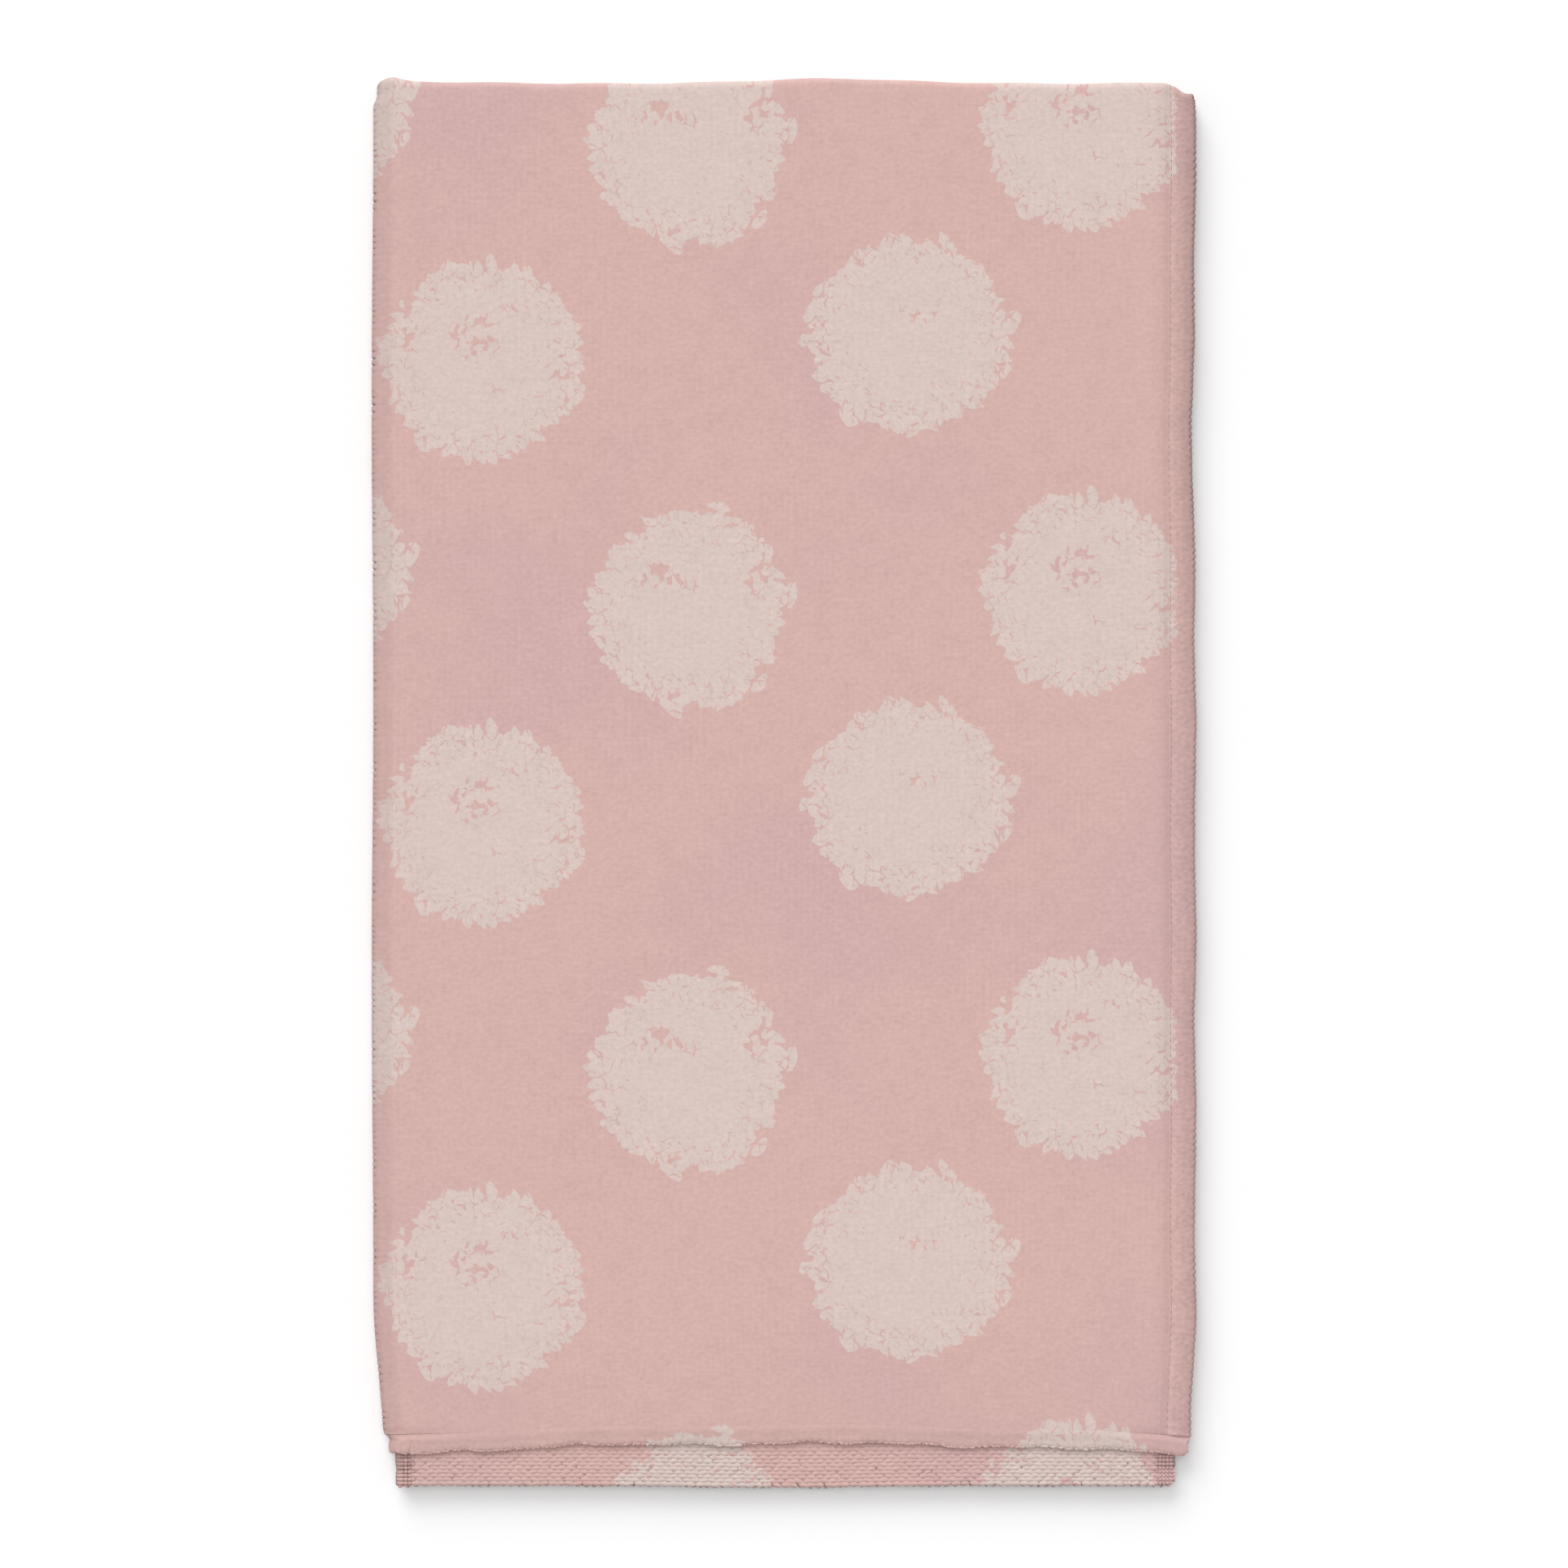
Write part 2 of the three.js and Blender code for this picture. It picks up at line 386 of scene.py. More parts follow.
    def cloth_place(
        self, flat: Array, turn: Array, length: Array, bend: Array, front: bool
    ) -> Array:
        """Where a point is on the unfolded print, for a piece's own map, in metres.

        Args:
            flat: distance from the hinge line, as for point.
            turn: angle round the lengthwise fold.
            length: position along the towel.
            bend: angle round the crosswise fold.
            front: whether it is on the outer, front half of the cloth.

        Returns:
            An array with the places across and along last.
        """
        nearly = 1e-6
        past = np.where(turn > math.pi - nearly, flat, 0.0)
        before = np.where(turn < nearly, flat, 0.0)
        across = self.hinge_x + before - self.mid_level(front) * turn - past
        along = length + (self.gap + self.ply) / 2 * bend
        return np.stack([across, along], axis=-1)


@dataclass(frozen=True)
class Dye:
    """A colour in linear light: one of the towel's own, or the painted shade mixed into it."""

    red: float
    green: float
    blue: float

    @property
    def rgba(self) -> tuple[float, float, float, float]:
        """The colour with full alpha."""
        return (self.red, self.green, self.blue, 1.0)

    def scaled(self, share: float) -> "Dye":
        """The same colour, lighter or darker."""
        return Dye(self.red * share, self.green * share, self.blue * share)


GROUND_PINK = Dye(0.618, 0.408, 0.377)
LEAF_CREAM = Dye(0.639, 0.520, 0.483)
BLOTCH_MAUVE = Dye(0.560, 0.370, 0.385)
# Painted shade: the dark colour mixed in through the painted_shade attribute at folds, seams, rib
# grooves, hem edges, loop sides and under the front hem.
SHADED_PURPLE = Dye(0.140, 0.085, 0.095)


class NodeBench:
    """Lays out one node tree, with plain arithmetic on its sockets."""

    def __init__(self, tree: bpy.types.NodeTree) -> None:
        """Takes an empty tree to work in."""
        self.tree = tree

    def add(self, kind: str, **settings: object) -> bpy.types.Node:
        """Adds one node.

        Args:
            kind: the node's type.
            **settings: its own properties.

        Returns:
            The node.
        """
        node = self.tree.nodes.new(kind)
        for name, value in settings.items():
            setattr(node, name, value)
        return node

    def feed(self, socket: Socket, value: Feed) -> None:
        """Links a socket to another, or gives it a plain value.

        Args:
            socket: the input.
            value: an output, a number or some numbers.
        """
        if isinstance(value, bpy.types.NodeSocket):
            self.tree.links.new(value, socket)
        else:
            socket.default_value = value

    def fed(
        self, kind: str, feeds: dict[int | str, Feed], out: int | str = 0, **settings: object
    ) -> Socket:
        """Adds a node and feeds it.

        Args:
            kind: the node's type.
            feeds: what each input is given.
            out: which output is wanted.
            **settings: the node's own properties.

        Returns:
            That output.
        """
        node = self.add(kind, **settings)
        for key, value in feeds.items():
            self.feed(node.inputs[key], value)
        return node.outputs[out]

    def math(self, operation: str, *values: Feed) -> Socket:
        """One arithmetic step on up to three values."""
        return self.fed("ShaderNodeMath", dict(enumerate(values)), operation=operation)

    def times(self, first: Feed, second: Feed) -> Socket:
        """The product of two values."""
        return self.math("MULTIPLY", first, second)

    def scaled_onto(self, value: Feed, factor: Feed, base: Feed) -> Socket:
        """A value times a factor, added to a base."""
        return self.math("MULTIPLY_ADD", value, factor, base)

    def length(self, x: Socket, y: Socket) -> Socket:
        """How long a flat arrow is."""
        return self.math("SQRT", self.math("ADD", self.times(x, x), self.times(y, y)))

    def vector(self, x: Feed, y: Feed, z: Feed = 0.0) -> Socket:
        """Joins three values into a vector."""
        return self.fed("ShaderNodeCombineXYZ", {0: x, 1: y, 2: z})

    def split(self, vector: Socket) -> tuple[Socket, Socket]:
        """The first two values of a vector."""
        across = self.fed("ShaderNodeSeparateXYZ", {0: vector})
        return across, across.node.outputs[1]

    def distance(self, place: Socket, point: Feed) -> Socket:
        """How far a place is from a point."""
        return self.fed(
            "ShaderNodeVectorMath", {0: place, 1: point}, "Value", operation="DISTANCE"
        )

    def stretched(self, vector: Socket, across: float, along: float) -> Socket:
        """Scales a vector, for a pattern that is finer one way than the other."""
        feeds = {0: vector, 1: (across, along, 1.0)}
        return self.fed("ShaderNodeVectorMath", feeds, operation="MULTIPLY")

    def turned(self, vector: Socket, angle: float) -> Socket:
        """Turns a vector in the plane of the cloth."""
        return self.fed("ShaderNodeMapping", {"Vector": vector, "Rotation": (0.0, 0.0, angle)})

    def noise(
        self, vector: Socket, scale: float, detail: float = 2.0, rough: float = 0.5,
        out: str = "Fac",
    ) -> Socket:
        """Cloudy noise, about 0.5 on average.

        Args:
            vector: the place.
            scale: how many clouds to the metre.
            detail: how many finer octaves it has.
            rough: how strong those are.
            out: "Fac" for one value, "Color" for three.

        Returns:
            The noise.
        """
        feeds = {"Vector": vector, "Scale": scale, "Detail": detail, "Roughness": rough}
        return self.fed("ShaderNodeTexNoise", feeds, out, noise_dimensions="3D")

    def nudged(
        self, place: Socket, scale: float, reach: float, detail: float = 2.0
    ) -> Socket:
        """Moves a place about on the cloth by up to a reach."""
        feeds = {
            0: self.noise(place, scale, detail, out="Color"), 1: (reach, reach, 0.0), 2: place
        }
        return self.fed("ShaderNodeVectorMath", feeds, operation="MULTIPLY_ADD")

    def ramp(self, value: Socket, low: float, high: float) -> Socket:
        """A smooth rise from 0 at low to 1 at high."""
        feeds = {"Value": value, "From Min": low, "From Max": high}
        return self.fed("ShaderNodeMapRange", feeds, "Result",
                        interpolation_type="SMOOTHSTEP", clamp=True)

    def mix(self, share: Feed, first: Feed, second: Feed) -> Socket:
        """Mixes two colours, which are the node's sixth and seventh inputs."""
        feeds = {0: share, 6: first, 7: second}
        return self.fed("ShaderNodeMix", feeds, 2, data_type="RGBA")

    def brightened(self, colour: Socket, gain: Socket) -> Socket:
        """Multiplies a colour by one value."""
        return self.fed("ShaderNodeVectorMath", {0: colour, "Scale": gain}, operation="SCALE")


@dataclass(frozen=True)
class LeafRing:
    """One ring of leaves round a dot of the print.

    Its leaves start at a distance from the centre, reach outwards, and lean. Some are kept.
    """

    count: int
    start: float
    reach: float
    kept: float
    lean: float


@dataclass(frozen=True)
class LeafyDotPrint:
    """The print: staggered round dots made of small leaves, own design.

    Each dot is a disc edged by rings of leaves, with a few gaps between leaves inside it.
    """

    repeat_across: float = 254.0 * MM
    half_drop: float = 98.0 * MM
    repeat_along: float = 196.0 * MM
    centres: tuple[tuple[float, float], ...] = (
        (-127.0 * MM, 179.5 * MM),
        (-40.0 * MM, 271.0 * MM),
        (53.5 * MM, 190.5 * MM),
    )
    first_seed: float = 1.3
    seed_step: float = 3.7
    disc: float = 37.5 * MM
    bulges: tuple[tuple[float, float, float], ...] = (
        (22.0, 1.0, 6.0 * MM),
        (85.0, 0.0, 4.5 * MM),
    )
    leaf_width: float = 0.46
    rings: tuple[LeafRing, ...] = (
        LeafRing(60, 34.5 * MM, 6.5 * MM, 1.0, 1.0),
        LeafRing(49, 36.5 * MM, 6.5 * MM, 0.85, -1.3),
        LeafRing(43, 38.5 * MM, 6.0 * MM, 0.50, 1.5),
        LeafRing(27, 42.5 * MM, 6.0 * MM, 0.15, -1.2),
    )

    def group(self) -> bpy.types.NodeTree:
        """Makes the print's node group: a place on the cloth in, how far it is printed out.

        Returns:
            The group, made once.
        """
        known = bpy.data.node_groups.get("leafy_dot_print")
        if known:
            return known
        tree = bpy.data.node_groups.new("leafy_dot_print", "ShaderNodeTree")
        tree.interface.new_socket("Place", in_out="INPUT", socket_type="NodeSocketVector")
        tree.interface.new_socket("Printed", in_out="OUTPUT", socket_type="NodeSocketFloat")
        bench = NodeBench(tree)
        enter = bench.add("NodeGroupInput")
        leave = bench.add("NodeGroupOutput")
        local_x, local_y, seed = self.nearest_dot(bench, *bench.split(enter.outputs[0]))
        bench.feed(leave.inputs[0], self.dot(bench, local_x, local_y, seed))
        return tree

    def nearest_dot(
        self, bench: NodeBench, x: Socket, y: Socket
    ) -> tuple[Socket, Socket, Socket]:
        """The place as seen from the nearest dot's centre, and that dot's seed.

        Args:
            bench: the group's bench.
            x: place across the cloth.
            y: place along the cloth.

        Returns:
            The places across and along from the centre, and the seed.
        """
        best: tuple[Feed, Feed, Feed, Feed] | None = None
        for number, (centre_x, centre_y) in enumerate(self.centres):
            from_x = bench.math("SUBTRACT", x, centre_x)
            column = bench.math("ROUND", bench.math("DIVIDE", from_x, self.repeat_across))
            near_x = bench.scaled_onto(column, -self.repeat_across, from_x)
            from_y = bench.math("SUBTRACT", y, centre_y)
            from_y = bench.scaled_onto(column, -self.half_drop, from_y)
            row = bench.math("ROUND", bench.math("DIVIDE", from_y, self.repeat_along))
            near_y = bench.scaled_onto(row, -self.repeat_along, from_y)
            seed = self.seed_step * number + self.first_seed
            here = (near_x, near_y, bench.length(near_x, near_y), seed)
            best = here if best is None else self.closer(bench, best, here)
        return best[0], best[1], best[3]

    @staticmethod
    def closer(bench: NodeBench, first: tuple, second: tuple) -> tuple:
        """Whichever of two dots is closer.

        Args:
            bench: the group's bench.
            first: places across and along, distance and seed of one dot.
            second: the same of the other.

        Returns:
            The same of the closer one.
        """
        pick = bench.math("LESS_THAN", second[2], first[2])
        return tuple(
            bench.scaled_onto(pick, bench.math("SUBTRACT", new, old), old)
            for old, new in zip(first, second)
        )

    def dot(self, bench: NodeBench, x: Socket, y: Socket, seed: Socket) -> Socket:
        """How far one place of a dot is printed.

        Args:
            bench: the group's bench.
            x: place across from the dot's centre.
            y: place along from the dot's centre.
            seed: the dot's seed.

        Returns:
            1 on print, 0 on bare ground.
        """
        place = bench.vector(x, y, seed)
        away = bench.length(x, y)
        for scale, detail, reach in self.bulges:
            cloud = bench.noise(place, scale, detail)
            away = bench.scaled_onto(cloud, -reach, bench.math("ADD", away, reach / 2))
        around = bench.math("DIVIDE", bench.math("ARCTAN2", y, x), FULL_TURN)
        printed = bench.math("LESS_THAN", away, self.disc)
        for number, ring in enumerate(self.rings):
            ring_seed = bench.math("ADD", seed, 11.0 * number)
            leaf = self.leaves(bench, ring, away, around, ring_seed)
            printed = bench.math("MAXIMUM", printed, leaf)
        gaps = self.gaps(bench, place, away, seed)
        return bench.times(printed, bench.times(gaps, self.specks(bench, place, away)))

    def leaves(
        self, bench: NodeBench, ring: LeafRing, away: Socket, around: Socket, seed: Socket
    ) -> Socket:
        """One ring of pointed leaves, each with its own length, lean and start.

        Args:
            bench: the group's bench.
            ring: the ring's sizes.
            away: distance from the dot's centre.
            around: the way round it, as a share of a full turn.
            seed: the ring's seed.

        Returns:
            1 on a leaf, 0 beside it.
        """
        cell = bench.times(around, float(ring.count))
        index = bench.math("FLOOR", cell)
        side = bench.math("SUBTRACT", bench.math("FRACT", cell), 0.5)
        chance = bench.add("ShaderNodeTexWhiteNoise", noise_dimensions="2D")
        bench.feed(chance.inputs["Vector"], bench.vector(index, seed))
        one = bench.fed("ShaderNodeSeparateColor", {0: chance.outputs["Color"]})
        two, three = one.node.outputs[1], one.node.outputs[2]
        start = bench.scaled_onto(one, 4.0 * MM, ring.start - 2.0 * MM)
        reach = bench.scaled_onto(two, 0.5 * ring.reach, 0.7 * ring.reach)
        share = bench.math("DIVIDE", bench.math("SUBTRACT", away, start), reach)
        lens = bench.times(bench.times(share, 4.0), bench.math("SUBTRACT", 1.0, share))
        lean = bench.scaled_onto(three, 0.8, ring.lean * 0.5 - 0.4)
        tilted = bench.scaled_onto(lean, bench.math("SUBTRACT", share, 0.5), side)
        half_width = bench.times(lens, self.leaf_width)
        inside = bench.math("LESS_THAN", bench.math("ABSOLUTE", tilted), half_width)
        kept = bench.math("LESS_THAN", chance.outputs["Value"], ring.kept)
        return bench.times(inside, kept)

    def gaps(self, bench: NodeBench, place: Socket, away: Socket, seed: Socket) -> Socket:
        """Bare patches between the leaves inside a dot.

        Args:
            bench: the group's bench.
            place: place in the dot, with its seed as third number.
            away: distance from the dot's centre.
            seed: the dot's seed; the first kind of dot has its own bare patch.

        Returns:
            0 in a gap, 1 elsewhere.
        """
        moved = bench.nudged(place, 260.0, 4.5 * MM, detail=1.0)
        feeds = {"Vector": bench.stretched(moved, 1.25, 0.85), "Scale": 190.0}
        seam = bench.fed("ShaderNodeTexVoronoi", feeds, "Distance",
                         feature="DISTANCE_TO_EDGE", voronoi_dimensions="2D")
        patch = bench.ramp(bench.noise(place, 46.0, 0.0), 0.68, 0.86)
        off = bench.distance(place, bench.vector(-3.0 * MM, 10.0 * MM, seed))
        spot = bench.ramp(bench.times(off, -1.0), -13.0 * MM, -4.0 * MM)
        first_kind = bench.math("LESS_THAN", seed, self.first_seed + self.seed_step / 2)
        spot = bench.times(spot, first_kind)
        patch = bench.math("MAXIMUM", patch, bench.times(spot, 0.85))
        crumbs = bench.ramp(bench.noise(place, 210.0, 1.0), 0.44, 0.62)
        rim = bench.ramp(away, 22.0 * MM, 38.0 * MM)
        width = bench.scaled_onto(patch, 0.42, bench.times(rim, 0.065))
        return bench.math("GREATER_THAN", seam, bench.times(width, crumbs))

    @staticmethod
    def specks(bench: NodeBench, place: Socket, away: Socket) -> Socket:
        """Short thin strokes of ground scattered in a dot, more of them near its rim.

        Args:
            bench: the group's bench.
            place: place in the dot, with its seed as third number.
            away: distance from the dot's centre.

        Returns:
            Less than 1 on a stroke, 1 elsewhere.
        """
        slanted = bench.stretched(bench.turned(place, 0.7), 0.6, 1.5)
        core = bench.fed("ShaderNodeTexVoronoi", {"Vector": slanted, "Scale": 230.0}, "Distance",
                         feature="F1", voronoi_dimensions="2D")
        reach = bench.scaled_onto(bench.ramp(away, 8.0 * MM, 34.0 * MM), 0.10, 0.06)
        reach = bench.times(reach, bench.ramp(bench.noise(place, 110.0, 1.0), 0.42, 0.62))
        return bench.scaled_onto(bench.math("LESS_THAN", core, reach), -0.8, 1.0)


@dataclass(frozen=True)
class Finish:
    """What every finish of the towel has: a name, a gloss and a relief."""

    name: str
    roughness: float = 0.92
    specular: float = 0.12
    relief: float = 0.12 * MM

    def surface(self, bench: NodeBench) -> tuple[Socket, Socket]:
        """The colour and the height of the surface, which each kind of finish has its own of."""
        raise NotImplementedError

    def gloss(self) -> dict[str, Feed]:
        """The shader's plain values."""
        return {"Roughness": self.roughness, "Specular IOR Level": self.specular}

    def material(self) -> bpy.types.Material:
        """Makes the material, or gives the one already made.

        Returns:
            The material.
        """
        known = bpy.data.materials.get(self.name)
        if known:
            return known
        made = bpy.data.materials.new(self.name)
        made.use_nodes = True
        made.node_tree.nodes.clear()
        bench = NodeBench(made.node_tree)
        colour, height = self.surface(bench)
        feeds = {"Strength": 1.0, "Distance": self.relief, "Height": height}
        normal = bench.fed("ShaderNodeBump", feeds)
        feeds = {**self.gloss(), "Base Color": colour, "Normal": normal}
        shader = bench.fed("ShaderNodeBsdfPrincipled", feeds)
        bench.feed(bench.add("ShaderNodeOutputMaterial").inputs["Surface"], shader)
        return made


@dataclass(frozen=True)
class LoopRows:
    """How uncut loops stand in rows on the reverse."""

    slant: float = 0.10
    offset: float = 0.5
    width: float = 3.8 * MM
    height: float = 1.6 * MM
    gap: float = 0.24 * MM
    shade: float = 0.35


HEM_ROWS = LoopRows(slant=0.0, offset=0.0, width=2.3 * MM, gap=0.42 * MM, shade=0.55)


@dataclass(frozen=True)
class TowelFinish(Finish):
    """One face of the towelling, dyed and printed, with painted shade mixed in."""

    face: Face = Face.PRINTED
    rows: LoopRows = LoopRows()
    mottle: float = 0.19
    rib_pitch: float = 2.75 * MM
    sheen: float = 0.08
    sheen_roughness: float = 0.6
    sheen_tint: tuple[float, float, float, float] = (1.0, 0.86, 0.83, 1.0)
    print_stop: float = 170.5 * MM
    missed_spot: tuple[float, float] = (-166.0 * MM, -279.0 * MM)
    missed_reach: float = 18.0 * MM
    missed_stretch: float = 0.6

    def gloss(self) -> dict[str, Feed]:
        """The shader's plain values, with the soft sheen of cotton pile."""
        sheen = {"Sheen Weight": self.sheen, "Sheen Roughness": self.sheen_roughness}
        return {**super().gloss(), **sheen, "Sheen Tint": self.sheen_tint}

    def surface(self, bench: NodeBench) -> tuple[Socket, Socket]:
        """The colour and the height of the face.

        Args:
            bench: the material's bench.

        Returns:
            The colour socket and the height socket.
        """
        place = bench.add("ShaderNodeUVMap", uv_map="cloth").outputs[0]
        blotches = bench.times(bench.ramp(bench.noise(place, 8.5), 0.44, 0.70), 0.5)
        colour = bench.mix(blotches, GROUND_PINK.rgba, BLOTCH_MAUVE.rgba)
        colour = bench.mix(self.print_mask(bench, place), colour, LEAF_CREAM.rgba)
        pile = self.loops if self.face is Face.LOOPED else self.velour
        gain, height = pile(bench, place)
        colour = bench.brightened(colour, gain)
        # Painted shade: the painted_shade attribute mixes the colour towards the shaded purple at
        # folds, seams, grooves, hem edges and loop sides.
        shade_tone = bench.add("ShaderNodeAttribute", attribute_name="painted_shade").outputs["Fac"]
        return bench.mix(shade_tone, colour, SHADED_PURPLE.rgba), height

    def print_mask(self, bench: NodeBench, place: Socket) -> Socket:
        """The print, frayed by the pile, faint at the hem and missed at one end of the fold.

        Args:
            bench: the material's bench.
            place: place on the unfolded cloth, in metres.

        Returns:
            1 on print, 0 on bare ground.
        """
        frayed = bench.nudged(place, 700.0, 0.9 * MM)
        printed = bench.fed("ShaderNodeGroup", {0: frayed}, node_tree=LeafyDotPrint().group())
        across = bench.split(place)[0]
        unsure = bench.scaled_onto(bench.noise(place, 260.0, 1.0), 9.0 * MM, across)
        before_hem = bench.math("LESS_THAN", unsure, self.print_stop)
        spot_x, spot_y = self.missed_spot
        away = bench.distance(bench.stretched(frayed, self.missed_stretch, 1.0),
                              (self.missed_stretch * spot_x, spot_y, 0.0))
        inked = bench.math("GREATER_THAN", away, self.missed_reach)
        return bench.times(printed, bench.times(before_hem, inked))

    def velour(self, bench: NodeBench, place: Socket) -> tuple[Socket, Socket]:
        """How sheared pile lightens the colour and raises the surface.

        Args:
            bench: the material's bench.
            place: place on the unfolded cloth, in metres.

        Returns:
            The gain of the colour, and the height.
        """
        tufts = bench.noise(bench.stretched(place, 470.0, 560.0), 1.0, 1.0, 0.4)
        patches = bench.noise(place, 95.0, 3.0, 0.6)
        across = bench.split(place)[0]
        ribs = bench.math("SINE", bench.times(across, FULL_TURN / self.rib_pitch))
        ribs = bench.times(ribs, bench.ramp(bench.noise(place, 14.0, 1.0), 0.40, 0.65))
        weft = bench.noise(bench.stretched(place, 150.0, 900.0), 1.0, 1.0)
        warp = bench.noise(bench.stretched(place, 800.0, 120.0), 1.0, 1.0)
        uneven = [bench.math("SUBTRACT", cloud, 0.5) for cloud in (patches, weft, warp)]
        gain = bench.scaled_onto(tufts, self.mottle, 1.0 - self.mottle / 2)
        gain = bench.scaled_onto(uneven[0], 0.6 * self.mottle, gain)
        gain = bench.scaled_onto(bench.math("ADD", uneven[1], uneven[2]), 0.07, gain)
        gain = bench.scaled_onto(ribs, 0.009, gain)
        height = bench.scaled_onto(patches, 1.5, tufts)
        return gain, bench.scaled_onto(ribs, 0.10, height)

    def loops(self, bench: NodeBench, place: Socket) -> tuple[Socket, Socket]:
        """How rows of loops shade the colour and raise the surface.

        Args:
            bench: the material's bench.
            place: place on the unfolded cloth, in metres.

        Returns:
            The gain of the colour, and the height.
        """
        feeds = {
            "Vector": bench.turned(place, self.rows.slant),
            "Scale": 1.0,
            "Brick Width": self.rows.width,
            "Row Height": self.rows.height,
            "Mortar Size": self.rows.gap,
            "Mortar Smooth": 1.0,
        }
        between = bench.fed("ShaderNodeTexBrick", feeds, "Fac",
                            offset=self.rows.offset, squash=1.0)
        fuzz = bench.noise(place, 900.0, 2.0, 0.6)
        gain = bench.math("SUBTRACT", bench.scaled_onto(fuzz, 0.22, 0.93),
                          bench.times(between, self.rows.shade))
        return gain, bench.math("SUBTRACT", bench.times(fuzz, 0.35), between)


@dataclass(frozen=True)
class ThreadFinish(Finish):
    """Spun sewing thread, twisted from fine strands."""

    dye: Dye = GROUND_PINK.scaled(0.62)

    def surface(self, bench: NodeBench) -> tuple[Socket, Socket]:
        """The colour and the height of the twisted strands.

        Args:
            bench: the material's bench.

        Returns:
            The colour socket and the height socket.
        """
        place = bench.add("ShaderNodeTexCoord").outputs["Object"]
        feeds = {"Vector": place, "Scale": 900.0, "Distortion": 1.5}
        twist = bench.fed("ShaderNodeTexWave", feeds, "Fac",
                          wave_type="BANDS", bands_direction="DIAGONAL")
        return bench.mix(twist, self.dye.scaled(0.7).rgba, self.dye.rgba), twist


VELOUR = TowelFinish("printed_velour")
SIDE_HEM = TowelFinish("plain_side_hem", mottle=0.34, relief=0.3 * MM)
LOOP_YARN = TowelFinish("loop_yarn", mottle=0.16, relief=0.1 * MM)
LOOPS = TowelFinish("uncut_loops", face=Face.LOOPED, relief=0.2 * MM)
LATTICE = TowelFinish("hem_lattice", face=Face.LOOPED, relief=0.2 * MM, rows=HEM_ROWS)
THREAD = ThreadFinish("spun_thread", roughness=0.85, specular=0.1, relief=0.08 * MM)


@dataclass(frozen=True)
class Skin:
    """What a closed strip of cloth needs to be laid: places, map and painted shade of both its
    faces.
    """

    places: tuple[Array, ...]
    maps: tuple[Array, ...]
    shade_tones: tuple[Array, ...]

    def joined(self, part: tuple[Array, ...], width: int) -> Array:
        """One row of numbers to a corner, the first face's corners first."""
        return np.concatenate([side.reshape(-1, width) for side in part])


